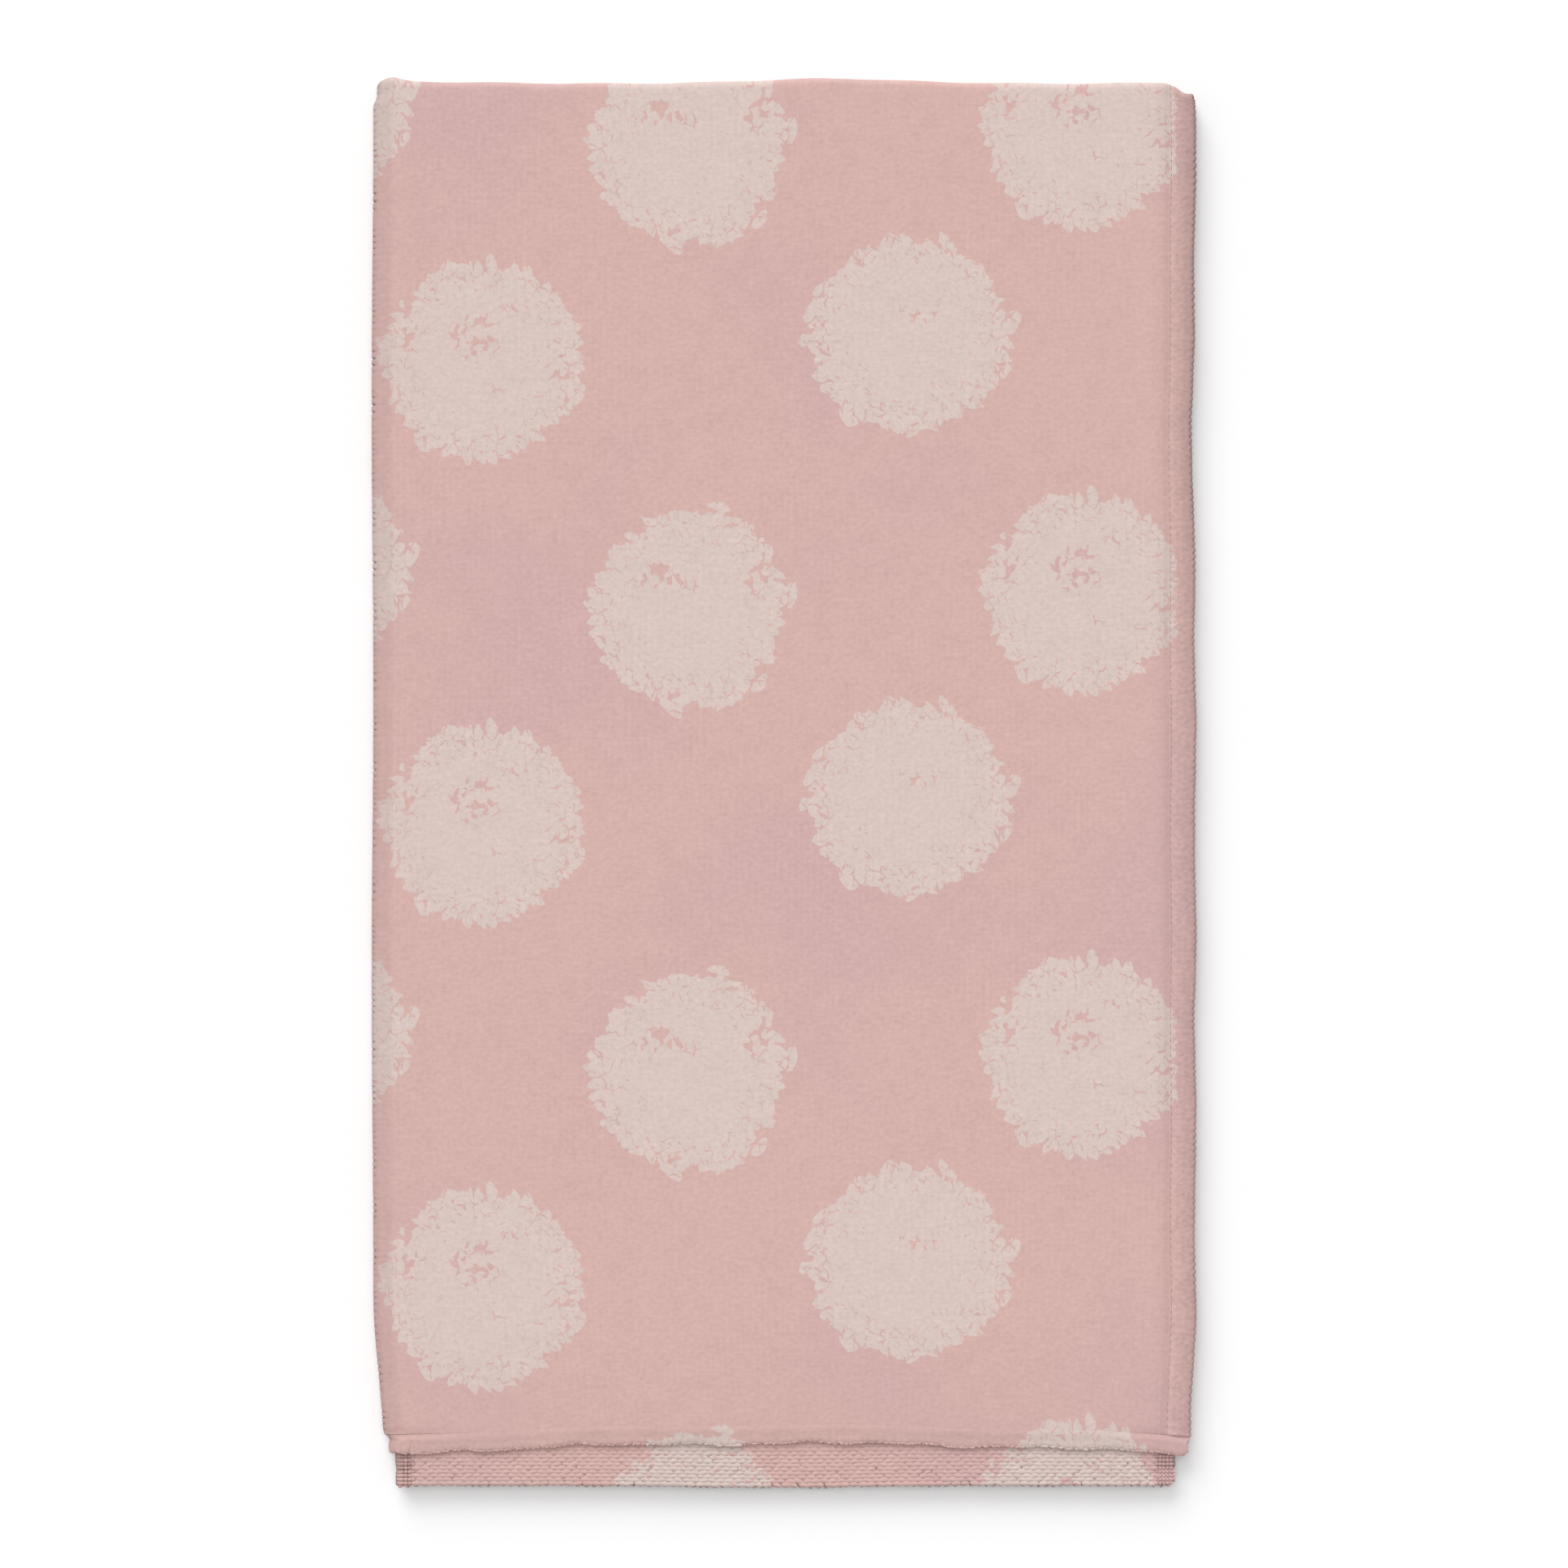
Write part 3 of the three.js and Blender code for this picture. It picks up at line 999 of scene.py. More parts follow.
class ClothWork:
    """Makes closed strips of cloth from flat grids."""

    @staticmethod
    def clear_selection() -> None:
        """Leaves nothing selected."""
        bpy.ops.object.select_all(action="DESELECT")

    @staticmethod
    def corners_of(mesh: bpy.types.Mesh) -> Array:
        """The corner number at each of a mesh's face corners."""
        corners = np.empty(len(mesh.loops), np.int32)
        mesh.loops.foreach_get("vertex_index", corners)
        return corners

    def strip(
        self, name: str, skin: Skin, finishes: tuple[TowelFinish, TowelFinish]
    ) -> bpy.types.Object:
        """Lays a flat grid, gives it a wall, and moves both faces to their places.

        Args:
            name: the piece's name.
            skin: places, map and tone of the first and second face, rows first.
            finishes: the finish of the first and of the second face.

        Returns:
            The finished piece.
        """
        rows, columns = skin.places[0].shape[:2]
        self.clear_selection()
        bpy.ops.mesh.primitive_grid_add(
            x_subdivisions=columns - 1, y_subdivisions=rows - 1, size=1.0
        )
        piece = bpy.context.active_object
        piece.name = name
        piece.data.name = name
        wall = piece.modifiers.new("wall", "SOLIDIFY")
        wall.thickness = 0.01
        wall.offset = -1.0
        bpy.ops.object.modifier_apply(modifier=wall.name)
        mesh = piece.data
        places = skin.joined(skin.places, 3)
        mesh.vertices.foreach_set("co", places.astype(np.float32).ravel())
        self.paint(mesh, skin.joined(skin.maps, 2), skin.joined(skin.shade_tones, 1).ravel())
        self.dress(mesh, rows * columns, finishes)
        mesh.update()
        self.face_outwards(piece)
        return piece

    def link_mesh(
        self, name: str, places: Array, faces: list[tuple[int, ...]], material: bpy.types.Material
    ) -> bpy.types.Object:
        """Makes a piece from corners and faces.

        Args:
            name: the piece's name.
            places: its corners.
            faces: its faces, as corner numbers.
            material: its only material.

        Returns:
            The piece.
        """
        mesh = bpy.data.meshes.new(name)
        mesh.from_pydata(places.tolist(), [], faces)
        mesh.materials.append(material)
        piece = bpy.data.objects.new(name, mesh)
        bpy.context.scene.collection.objects.link(piece)
        self.face_outwards(piece)
        return piece

    def paint(self, mesh: bpy.types.Mesh, places: Array, shade_tones: Array) -> None:
        """Writes the cloth map and the painted shade.

        Args:
            mesh: the mesh.
            places: place on the unfolded cloth, one to a corner.
            shade_tones: how far painted shade darkens the colour, one to a corner.
        """
        for layer in list(mesh.uv_layers):
            mesh.uv_layers.remove(layer)
        spots = places[self.corners_of(mesh)].astype(np.float32)
        mesh.uv_layers.new(name="cloth").data.foreach_set("uv", spots.ravel())
        shade_tone = mesh.attributes.new("painted_shade", "FLOAT", "POINT")
        shade_tone.data.foreach_set("value", shade_tones.astype(np.float32))

    def dress(
        self, mesh: bpy.types.Mesh, first: int, finishes: tuple[TowelFinish, TowelFinish]
    ) -> None:
        """Gives the first face and the edges one finish, and the second face the other.

        Args:
            mesh: the mesh.
            first: how many corners the first face has.
            finishes: the finish of the first and of the second face.
        """
        for finish in finishes:
            mesh.materials.append(finish.material())
        starts = np.empty(len(mesh.polygons), np.int32)
        mesh.polygons.foreach_get("loop_start", starts)
        second = np.minimum.reduceat(self.corners_of(mesh), starts) >= first
        mesh.polygons.foreach_set("material_index", second.astype(np.int32))
        mesh.polygons.foreach_set("use_smooth", np.ones(len(starts), bool))

    def face_outwards(self, piece: bpy.types.Object) -> None:
        """Recalculates the normals of a closed piece and smooths it up to a sharp edge.

        Args:
            piece: the piece.
        """
        self.clear_selection()
        bpy.context.view_layer.objects.active = piece
        piece.select_set(True)
        bpy.ops.object.mode_set(mode="EDIT")
        bpy.ops.mesh.select_all(action="SELECT")
        bpy.ops.mesh.normals_make_consistent(inside=False)
        bpy.ops.object.mode_set(mode="OBJECT")
        bpy.ops.object.shade_smooth_by_angle(angle=math.radians(60.0))
        piece.select_set(False)


@dataclass(frozen=True)
class Pinch:
    """How a seam pulls the cloth thin beside it."""

    depth: float
    reach: float = 3.6 * MM
    core: float = 1.0 * MM

    def faces(
        self, ply: float, away: Array, strength: Array | float = 1.0
    ) -> tuple[Array, Array]:
        """Heights of the reverse and the printed face beside a seam.

        Args:
            ply: thickness of the free cloth.
            away: distance from the seam.
            strength: how hard the seam pulls here.

        Returns:
            The lower and the upper height.
        """
        pull = self.depth * strength * fade(away, 0.0, self.reach) * (ply - self.core) / 2
        return pull, ply - pull


@dataclass
class Layer:
    """One of the towel's four layers: the flat cloth between folds and seams."""

    layout: FoldedLayout
    front: bool
    upper: bool
    step: float = 3.4 * MM
    seam_step: float = 0.8 * MM
    seam_zone: float = 6.0 * MM
    side_pinch: Pinch = Pinch(0.62)
    end_pinch: Pinch = Pinch(0.55)

    @property
    def half(self) -> str:
        """Which half of the towel the layer belongs to."""
        return "upper" if self.upper else "lower"

    @property
    def name(self) -> str:
        """The layer's name, as its CAD nodes begin."""
        return f"{self.half}_{'front' if self.front else 'back'}"

    @property
    def end_seam(self) -> float:
        """Length position of the layer's end seam."""
        return self.layout.end_seam_of(self.front, self.upper)

    def course(self, start: float, stop: float, step: float) -> Course:
        """A course on this layer."""
        return Course.on_layer(self.upper, start, stop, step)

    def end_strength(self, across: Array) -> Array:
        """The end seam pulls hard near both sides and hardly at all mid-way."""
        centre = (self.layout.right + self.layout.left) / 2
        off = np.abs(across - centre) / (self.layout.right - centre)
        return 0.15 + 0.85 * rise(off, 0.72, 0.25)

    def shade_tone(self, flat: Array, length: Array, strength: Array) -> Array:
        """How much painted shade darkens the cloth beside the seams and at the lengthwise fold.

        Args:
            flat: distance from the hinge line.
            length: position along the towel.
            strength: how hard the end seam pulls.

        Returns:
            The painted shade.
        """
        # Painted shade beside the side seam and the pulled end seam, at the fold's edge on the
        # front and upper back layers, and faintly within 60 mm of the end seam on the front.
        shade_tone = 0.11 * fade(self.layout.seam_flat - flat, 0.0, 9.0 * MM)
        shade_tone = shade_tone + 0.16 * strength**2 * fade(length, self.end_seam, 1.6 * MM)
        if self.front:
            shade_tone = shade_tone + 0.12 * fade(flat, 0.5 * MM, 4.0 * MM)
            return shade_tone + 0.03 * fade(length, self.end_seam, 60.0 * MM)
        return shade_tone + (0.24 * fade(flat, 0.2 * MM, 3.5 * MM) if self.upper else 0.0)

    def cloth(self, work: ClothWork, lap: float) -> bpy.types.Object:
        """Makes the flat cloth, from the lap of the lengthwise fold to the side seam.

        Args:
            work: the maker of strips.
            lap: how far the lengthwise fold's own strip reaches onto this layer.

        Returns:
            The piece.
        """
        lay = self.layout
        seam = self.end_seam
        inner_side = lay.seam_flat - self.seam_zone
        body = self.course(lap, inner_side, self.step)
        beside = spread(inner_side, lay.seam_flat, self.seam_step)
        near = spread(seam, seam + self.seam_zone, self.seam_step)[:-1]
        far = Run.into_fold(seam + self.seam_zone, lay.fold_y, self.step)
        flat, length = np.meshgrid(
            np.concatenate([body.flat[:-1], beside]), np.concatenate([near, far.length])
        )
        bend = np.concatenate([np.zeros_like(near), far.bend])
        bend = np.broadcast_to(bend[:, None], flat.shape)
        turn = np.full_like(flat, body.turn[0])
        strength = self.end_strength(lay.hinge_x + flat)
        low_side, high_side = self.side_pinch.faces(lay.ply, lay.seam_flat - flat)
        low_end, high_end = self.end_pinch.faces(lay.ply, length - seam, strength)
        heights = (np.minimum(high_side, high_end), np.maximum(low_side, low_end))
        places = tuple(
            lay.point(flat, turn, length, bend, height, self.front) for height in heights
        )
        shade_tone = self.shade_tone(flat, length, strength)
        unfolded = lay.cloth_place(flat, turn, length, bend, self.front)
        skin = Skin(places, (unfolded, unfolded), (shade_tone, shade_tone))
        return work.strip(f"{self.name}_cloth", skin, (VELOUR, LOOPS))


@dataclass
class LengthwiseFold:
    """The bend that joins an upper layer to a lower one, with fine ribs across it."""

    layout: FoldedLayout
    front: bool
    lap: float
    rib_pitch: float = 2.75 * MM
    rib_depth: float = 1.15 * MM
    groove_width: float = 0.17

    @property
    def name(self) -> str:
        """The fold's name, as its CAD nodes begin."""
        return "outer" if self.front else "inner"

    def groove(self, length: Array) -> Array:
        """Where the narrow grooves between the ribs are.

        Args:
            length: position along the towel.

        Returns:
            1 at the bottom of the deepest grooves, 0 on the ribs.
        """
        wander = 0.30 * wave(length, 11 * MM) + 0.22 * wave(length, 4.7 * MM, 1.0)
        phase = np.mod(length / self.rib_pitch + wander, 1.0)
        uneven = 0.5 + 0.5 * wave(length, 23 * MM, 0.4) * wave(length, 3.1 * MM)
        return hump(phase, 0.5, self.groove_width) * (0.15 + 0.85 * uneven)

    def cloth(self, work: ClothWork) -> bpy.types.Object:
        """Makes the bend, from its end seam to the outermost line of the crosswise fold.

        Args:
            work: the maker of strips.

        Returns:
            The piece.
        """
        lay = self.layout
        seam = lay.end_seam_of(self.front, upper=False)
        course = Course.round_fold(self.lap, 1.0 * MM, 20 if self.front else 21)
        run = Run.into_fold(seam, lay.fold_y, 0.45 * MM if self.front else 1.2 * MM)
        flat, length = np.meshgrid(course.flat, run.length)
        turn = np.broadcast_to(course.turn[None, :], flat.shape)
        bend = np.broadcast_to(run.bend[:, None], flat.shape)
        low, high = Pinch(0.5).faces(lay.ply, length - seam)
        # Painted shade: faintly darker within 60 mm of the end seam.
        shade_tone = 0.03 * fade(length, seam, 60.0 * MM)
        if self.front:
            groove = self.groove(length) * np.cos(bend)
            outermost = rise(np.sin(turn), 0.55, 0.40)
            on_lap = fade(flat, 0.0, self.lap)
            sunk = groove * (self.rib_depth * outermost + 0.05 * MM * on_lap)
            swell = wave(length, 5.3 * MM) * wave(length, 8.9 * MM) - 1.8
            high = np.minimum(high, lay.ply - (sunk + 0.30 * MM * outermost * swell))
            # Painted shade: darker at the fold's edge, round the bend, and deep in the grooves
            # between the ribs.
            shade_tone = shade_tone + 0.12 * fade(flat, 0.5 * MM, 4.0 * MM) + 0.12 * np.sin(turn)
            shade_tone = shade_tone + 0.70 * groove * outermost + 0.02 * groove * on_lap
        places = tuple(
            lay.point(flat, turn, length, bend, height, self.front) for height in (high, low)
        )
        unfolded = lay.cloth_place(flat, turn, length, bend, self.front)
        # The fold's reverse, on its inside, gets an even painted shade.
        shade_tones = (np.clip(shade_tone, 0, 0.85), np.full_like(shade_tone, 0.34))
        skin = Skin(places, (unfolded, unfolded), shade_tones)
        finishes = (VELOUR, LOOPS if self.front else LATTICE)
        return work.strip(f"{self.name}_fold_cloth", skin, finishes)


@dataclass
class TurnedHem:
    """A hem turned twice to the reverse, seen as a spiral from its end."""

    layout: FoldedLayout
    width: float
    front: bool
    upper: bool
    bulge: float = 0.35 * MM
    ply: float = 0.75 * MM
    tuck: float = 1.6 * MM
    squeeze_reach: float = 2.6 * MM
    darkest: float = 0.8

    @property
    def layer(self) -> Layer:
        """The layer that the hem edges."""
        return Layer(self.layout, self.front, self.upper)

    def section(self, flat_step: float) -> tuple[tuple[Array, Array], tuple[Array, Array]]:
        """The hem's section, from the seam out, back and in again.

        Args:
            flat_step: spacing on its flat parts.

        Returns:
            For its printed and then its inner side, distance from the seam and height above
            the reverse.
        """
        full = self.layout.ply
        between = (full - 3 * self.ply) / 2
        outer_turn = (full - self.ply) / 2
        inner_turn = (self.ply + between) / 2
        half = self.ply / 2
        far = self.width - full / 2
        near = inner_turn + half
        middle = [(x, full - half, 0.0) for x in spread(0.0, far, flat_step)[:-1]]
        middle += [(far + outer_turn * math.sin(a), full / 2 + outer_turn * math.cos(a), a)
                   for a in np.linspace(0, math.pi, 8)]
        middle += [(x, half, math.pi) for x in spread(far, near, 2 * flat_step)[1:-1]]
        middle += [(near + inner_turn * math.sin(a), near + inner_turn * math.cos(a), a)
                   for a in np.linspace(math.pi, FULL_TURN, 6)]
        middle += [(far - self.tuck, 2 * inner_turn + half, FULL_TURN)]
        away, height, angle = np.array(middle).T
        out_x, out_z = half * np.sin(angle), half * np.cos(angle)
        return (away + out_x, height + out_z), (away - out_x, height - out_z)

    def squeezed(self, away: Array, height: Array, depth: Array | float) -> Array:
        """Pulls heights towards the middle of the cloth beside the seam.

        Args:
            away: distance from the seam.
            height: height above the reverse.
            depth: how hard the seam pulls.

        Returns:
            The new height.
        """
        middle = self.layout.ply / 2
        pull = depth * fade(away, 0.0, self.squeeze_reach)
        puffed = height + 0.12 * MM * np.sin(np.clip(away / self.width, 0, 1) * math.pi)
        return middle + (puffed - middle) * (1.0 - 0.6 * pull)

    def sewn(
        self, work: ClothWork, name: str, sides: list[tuple[Array, Array, Array]],
        finish: TowelFinish,
    ) -> bpy.types.Object:
        """Makes the hem's piece from its two sides.

        Args:
            work: the maker of strips.
            name: the piece's name.
            sides: places, map and painted shade of each side.
            finish: the finish of both sides.

        Returns:
            The piece.
        """
        places, maps, shade_tones = zip(*sides)
        held = tuple(np.clip(shade_tone, 0, self.darkest) for shade_tone in shade_tones)
        return work.strip(name, Skin(places, maps, held), (finish, finish))


@dataclass
class SideHem(TurnedHem):
    """The side hem of one layer, with the loop ends that stick out of its edge."""

    def make(self, work: ClothWork) -> bpy.types.Object:
        """Makes the hem from the end seam to the outermost line of the crosswise fold.

        Args:
            work: the maker of strips.

        Returns:
            The piece.
        """
        lay = self.layout
        seam = self.layer.end_seam
        run = Run.into_fold(seam, lay.fold_y, 0.6 * MM)
        line = run.length[:, None]
        wander = 0.17 * wave(line, 9 * MM) + 0.10 * wave(line, 3.9 * MM)
        phase = np.mod(line / (2.9 * MM) + wander, 1.0)
        uneven = 0.5 + 0.5 * wave(line, 19 * MM) * wave(line, 5.7 * MM)
        notch = hump(phase, 0.5, 0.17) * (0.3 + 0.7 * uneven)
        drift = 0.4 * wave(line, 5.1 * MM, 2.0) * wave(line, 13 * MM)
        sides = []
        for away, height in self.section(1.2 * MM):
            flat, length = np.meshgrid(lay.seam_flat + away, run.length)
            bend = np.broadcast_to(run.bend[:, None], flat.shape)
            turn = np.full_like(flat, 0.0 if self.upper else math.pi)
            tip = rise(away, self.width - 2.2 * MM, 2.2 * MM)[None, :]
            flat = flat + tip * self.bulge * (0.6 + drift - 2.4 * notch)
            squeezed = self.squeezed(away[None, :] + 0 * flat, height[None, :] + 0 * flat, 0.75)
            place = lay.point(flat, turn, length, bend, squeezed, self.front)
            unfolded = lay.cloth_place(flat, turn, length, bend, self.front)
            # Painted shade: darker across the hem towards its edge and in the notches there, more
            # towards the crosswise fold, and on the back beside the end seam.
            profile = 0.05 + 0.07 * rise(away, 0.8 * MM, 2.6 * MM)
            profile = profile + 0.09 * rise(away, 4.5 * MM, 2.5 * MM)
            shade_tone = profile[None, :] + 0.16 * tip + 0.6 * notch * tip**2
            shade_tone = shade_tone * (1 + 0.45 * rise(length, 20 * MM, 120 * MM))
            if not self.front:
                shade_tone = shade_tone + 0.15 * fade(length, seam, 7 * MM)
            sides.append((place, unfolded, shade_tone))
        finish = SIDE_HEM if self.front else LATTICE
        return self.sewn(work, f"{self.layer.name}_side_hem_cloth", sides, finish)


@dataclass
class EndHem(TurnedHem):
    """The end hem of one layer, or of the lengthwise fold between two."""

    reach_out: float = 1.1 * MM
    thinning: float = 0.42
    lump: float = 0.25 * MM
    fray: float = 0.16 * MM

    @staticmethod
    def ragged(span: Array) -> Array:
        """How far the hem's edge wanders along the towel, by place across it."""
        return 0.7 * MM * wave(span, 5.3 * MM) * wave(span, 17 * MM, 0.5)

    def make(self, work: ClothWork, course: Course, name: str) -> bpy.types.Object:
        """Makes the hem along a course across the cloth.

        Args:
            work: the maker of strips.
            course: places across, from one side of the piece to the other.
            name: the piece's name.

        Returns:
            The piece.
        """
        lay = self.layout
        seam = self.layer.end_seam
        flats, nothing = course.flat, 0 * course.flat
        span = lay.cloth_place(flats, course.turn, nothing, nothing, self.front)[:, 0]
        wander = 1.2 * wave(span, 12 * MM) + 0.7 * wave(span, 5.3 * MM)
        swell = (0.5 + 0.5 * np.cos(FULL_TURN * span / (3.4 * MM) + wander))[:, None]
        depth = self.layer.end_strength(lay.hinge_x + flats) if self.front else 0.3 + nothing
        depth = (depth * (0.9 if self.front else 1.0))[:, None]
        lumps = self.lump * wave(span, 7.1 * MM) * wave(span, 11.3 * MM, 1.0)
        stray = np.random.default_rng(3).normal(0, self.fray, len(span))
        edge = (self.ragged(span) + stray) * (1.0 if self.front else 0.4)
        if self.upper or not self.front:
            edge = edge + 1.5 * MM * fade(lay.edge_flat - flats, 0.0, 3.0 * MM)
        bulge = self.bulge * (0.6 if self.front else 1.3)
        droop = 0.30 * MM if self.front and self.upper else 0.0
        sides = []
        for away, height in self.section(0.9 * MM):
            reach, flat = np.meshgrid(away, flats)
            turn = np.broadcast_to(course.turn[:, None], flat.shape)
            tip = rise(reach, self.width - 2.0 * MM, 2.0 * MM)
            length = seam - reach - bulge * tip * (swell * 2 - 1) + tip * edge[:, None]
            pull = np.broadcast_to(depth, flat.shape)
            lying = self.squeezed(reach, height[None, :] + 0 * flat, pull)
            # Painted shade: darker where the seam pulls, round the lengthwise fold and at the
            # hem's edge; on the front half the edge is shaded less.
            shade_tone = 0.02 + 0.20 * pull**2 * fade(reach, 0.0, 1.8 * MM) + 0.25 * np.sin(turn)
            shade = tip * (0.16 - 0.10 * swell)
            if self.front:
                length = length - self.reach_out * tip
                slope = eased(reach / self.width)
                middle = lay.ply / 2
                lying = middle + (lying - middle) * (1 - self.thinning * slope)
                lying = lying - droop * np.cos(turn) * slope
                lying = lying + lumps[:, None] * np.clip(lying / lay.ply, 0, 1) * slope
                shade_tone = (shade_tone + 0.3 * shade) * (1 - 0.5 * tip)
            else:
                shade_tone = shade_tone + shade
            place = lay.point(flat, turn, length, 0 * flat, lying, self.front)
            unfolded = lay.cloth_place(flat, turn, length, 0 * flat, self.front)
            sides.append((place, unfolded, shade_tone))
        finish = VELOUR if self.front else LOOPS if self.upper else LATTICE
        return self.sewn(work, name, sides, finish)


@dataclass
class StitchLine:
    """A row of lock stitches: the thread runs on the face and dips between stitches."""

    layout: FoldedLayout
    stitch: float = 3.1 * MM
    radius: float = 0.24 * MM
    around: int = 6
    samples: int = 6
    above_middle: float = 0.62 * MM
    dip: float = 0.75 * MM
    dip_width: float = 0.14

    def heights(self, travel: Array, needle: bool) -> Array:
        """How high the thread runs in the pinched seam.

        Args:
            travel: the way along the seam.
            needle: the thread of the printed face, or else the bobbin's on the reverse.

        Returns:
            Heights above the reverse.
        """
        middle = self.layout.ply / 2
        down = self.dip * hump(np.mod(travel / self.stitch, 1.0), 0.5, self.dip_width)
        rising = self.above_middle - down
        return middle + (rising if needle else -rising)

    def tube(self, name: str, line: Array) -> bpy.types.Object:
        """Makes a closed round thread along a line of places.

        Args:
            name: the piece's name.
            line: places along the thread.

        Returns:
            The piece.
        """
        along = np.gradient(line, axis=0)
        along /= np.linalg.norm(along, axis=1)[:, None]
        side = np.cross(along, np.array([0.31, 0.17, 0.93]))
        side /= np.linalg.norm(side, axis=1)[:, None]
        up = np.cross(side, along)
        angle = np.linspace(0, FULL_TURN, self.around, endpoint=False)[None, :, None]
        ring = np.cos(angle) * side[:, None, :] + np.sin(angle) * up[:, None, :]
        places = (line[:, None, :] + self.radius * ring).reshape(-1, 3)
        last = (len(line) - 1) * self.around
        faces = []
        for start in range(0, last, self.around):
            for spoke in range(self.around):
                a, b = start + spoke, start + (spoke + 1) % self.around
                faces.append((a, b, b + self.around, a + self.around))
        faces.append(tuple(range(self.around))[::-1])
        faces.append(tuple(last + spoke for spoke in range(self.around)))
        return ClothWork().link_mesh(name, places, faces, THREAD.material())

    def along_side(self, layer: Layer, needle: bool, name: str) -> bpy.types.Object:
        """The thread of a side seam, up to the outermost line of the crosswise fold.

        Args:
            layer: the layer that the seam is in.
            needle: the needle's thread, or else the bobbin's.
            name: the piece's name.

        Returns:
            The piece.
        """
        lay = self.layout
        start = layer.end_seam + 0.6 * MM
        run = Run.into_fold(start, lay.fold_y, self.stitch / self.samples, 5)
        flat = np.full_like(run.length, lay.seam_flat)
        turn = np.full_like(flat, 0.0 if layer.upper else math.pi)
        height = self.heights(run.length, needle)
        return self.tube(name, lay.point(flat, turn, run.length, run.bend, height, layer.front))

    def along_end(
        self, layer: Layer, course: Course, needle: bool, name: str
    ) -> bpy.types.Object:
        """The thread of an end seam along a course across the cloth.

        Args:
            layer: the layer that the seam is in, or the lower one of a fold.
            course: places across, from one side of the piece to the other.
            needle: the needle's thread, or else the bobbin's.
            name: the piece's name.

        Returns:
            The piece.
        """
        lay, flat = self.layout, course.flat
        travel = lay.cloth_place(flat, course.turn, 0 * flat, 0 * flat, layer.front)[:, 0]
        length = np.full_like(flat, layer.end_seam)
        height = self.heights(travel, needle)
        return self.tube(name, lay.point(flat, course.turn, length, 0 * flat, height, layer.front))


LoopEnd = tuple[Array, Array, Array]


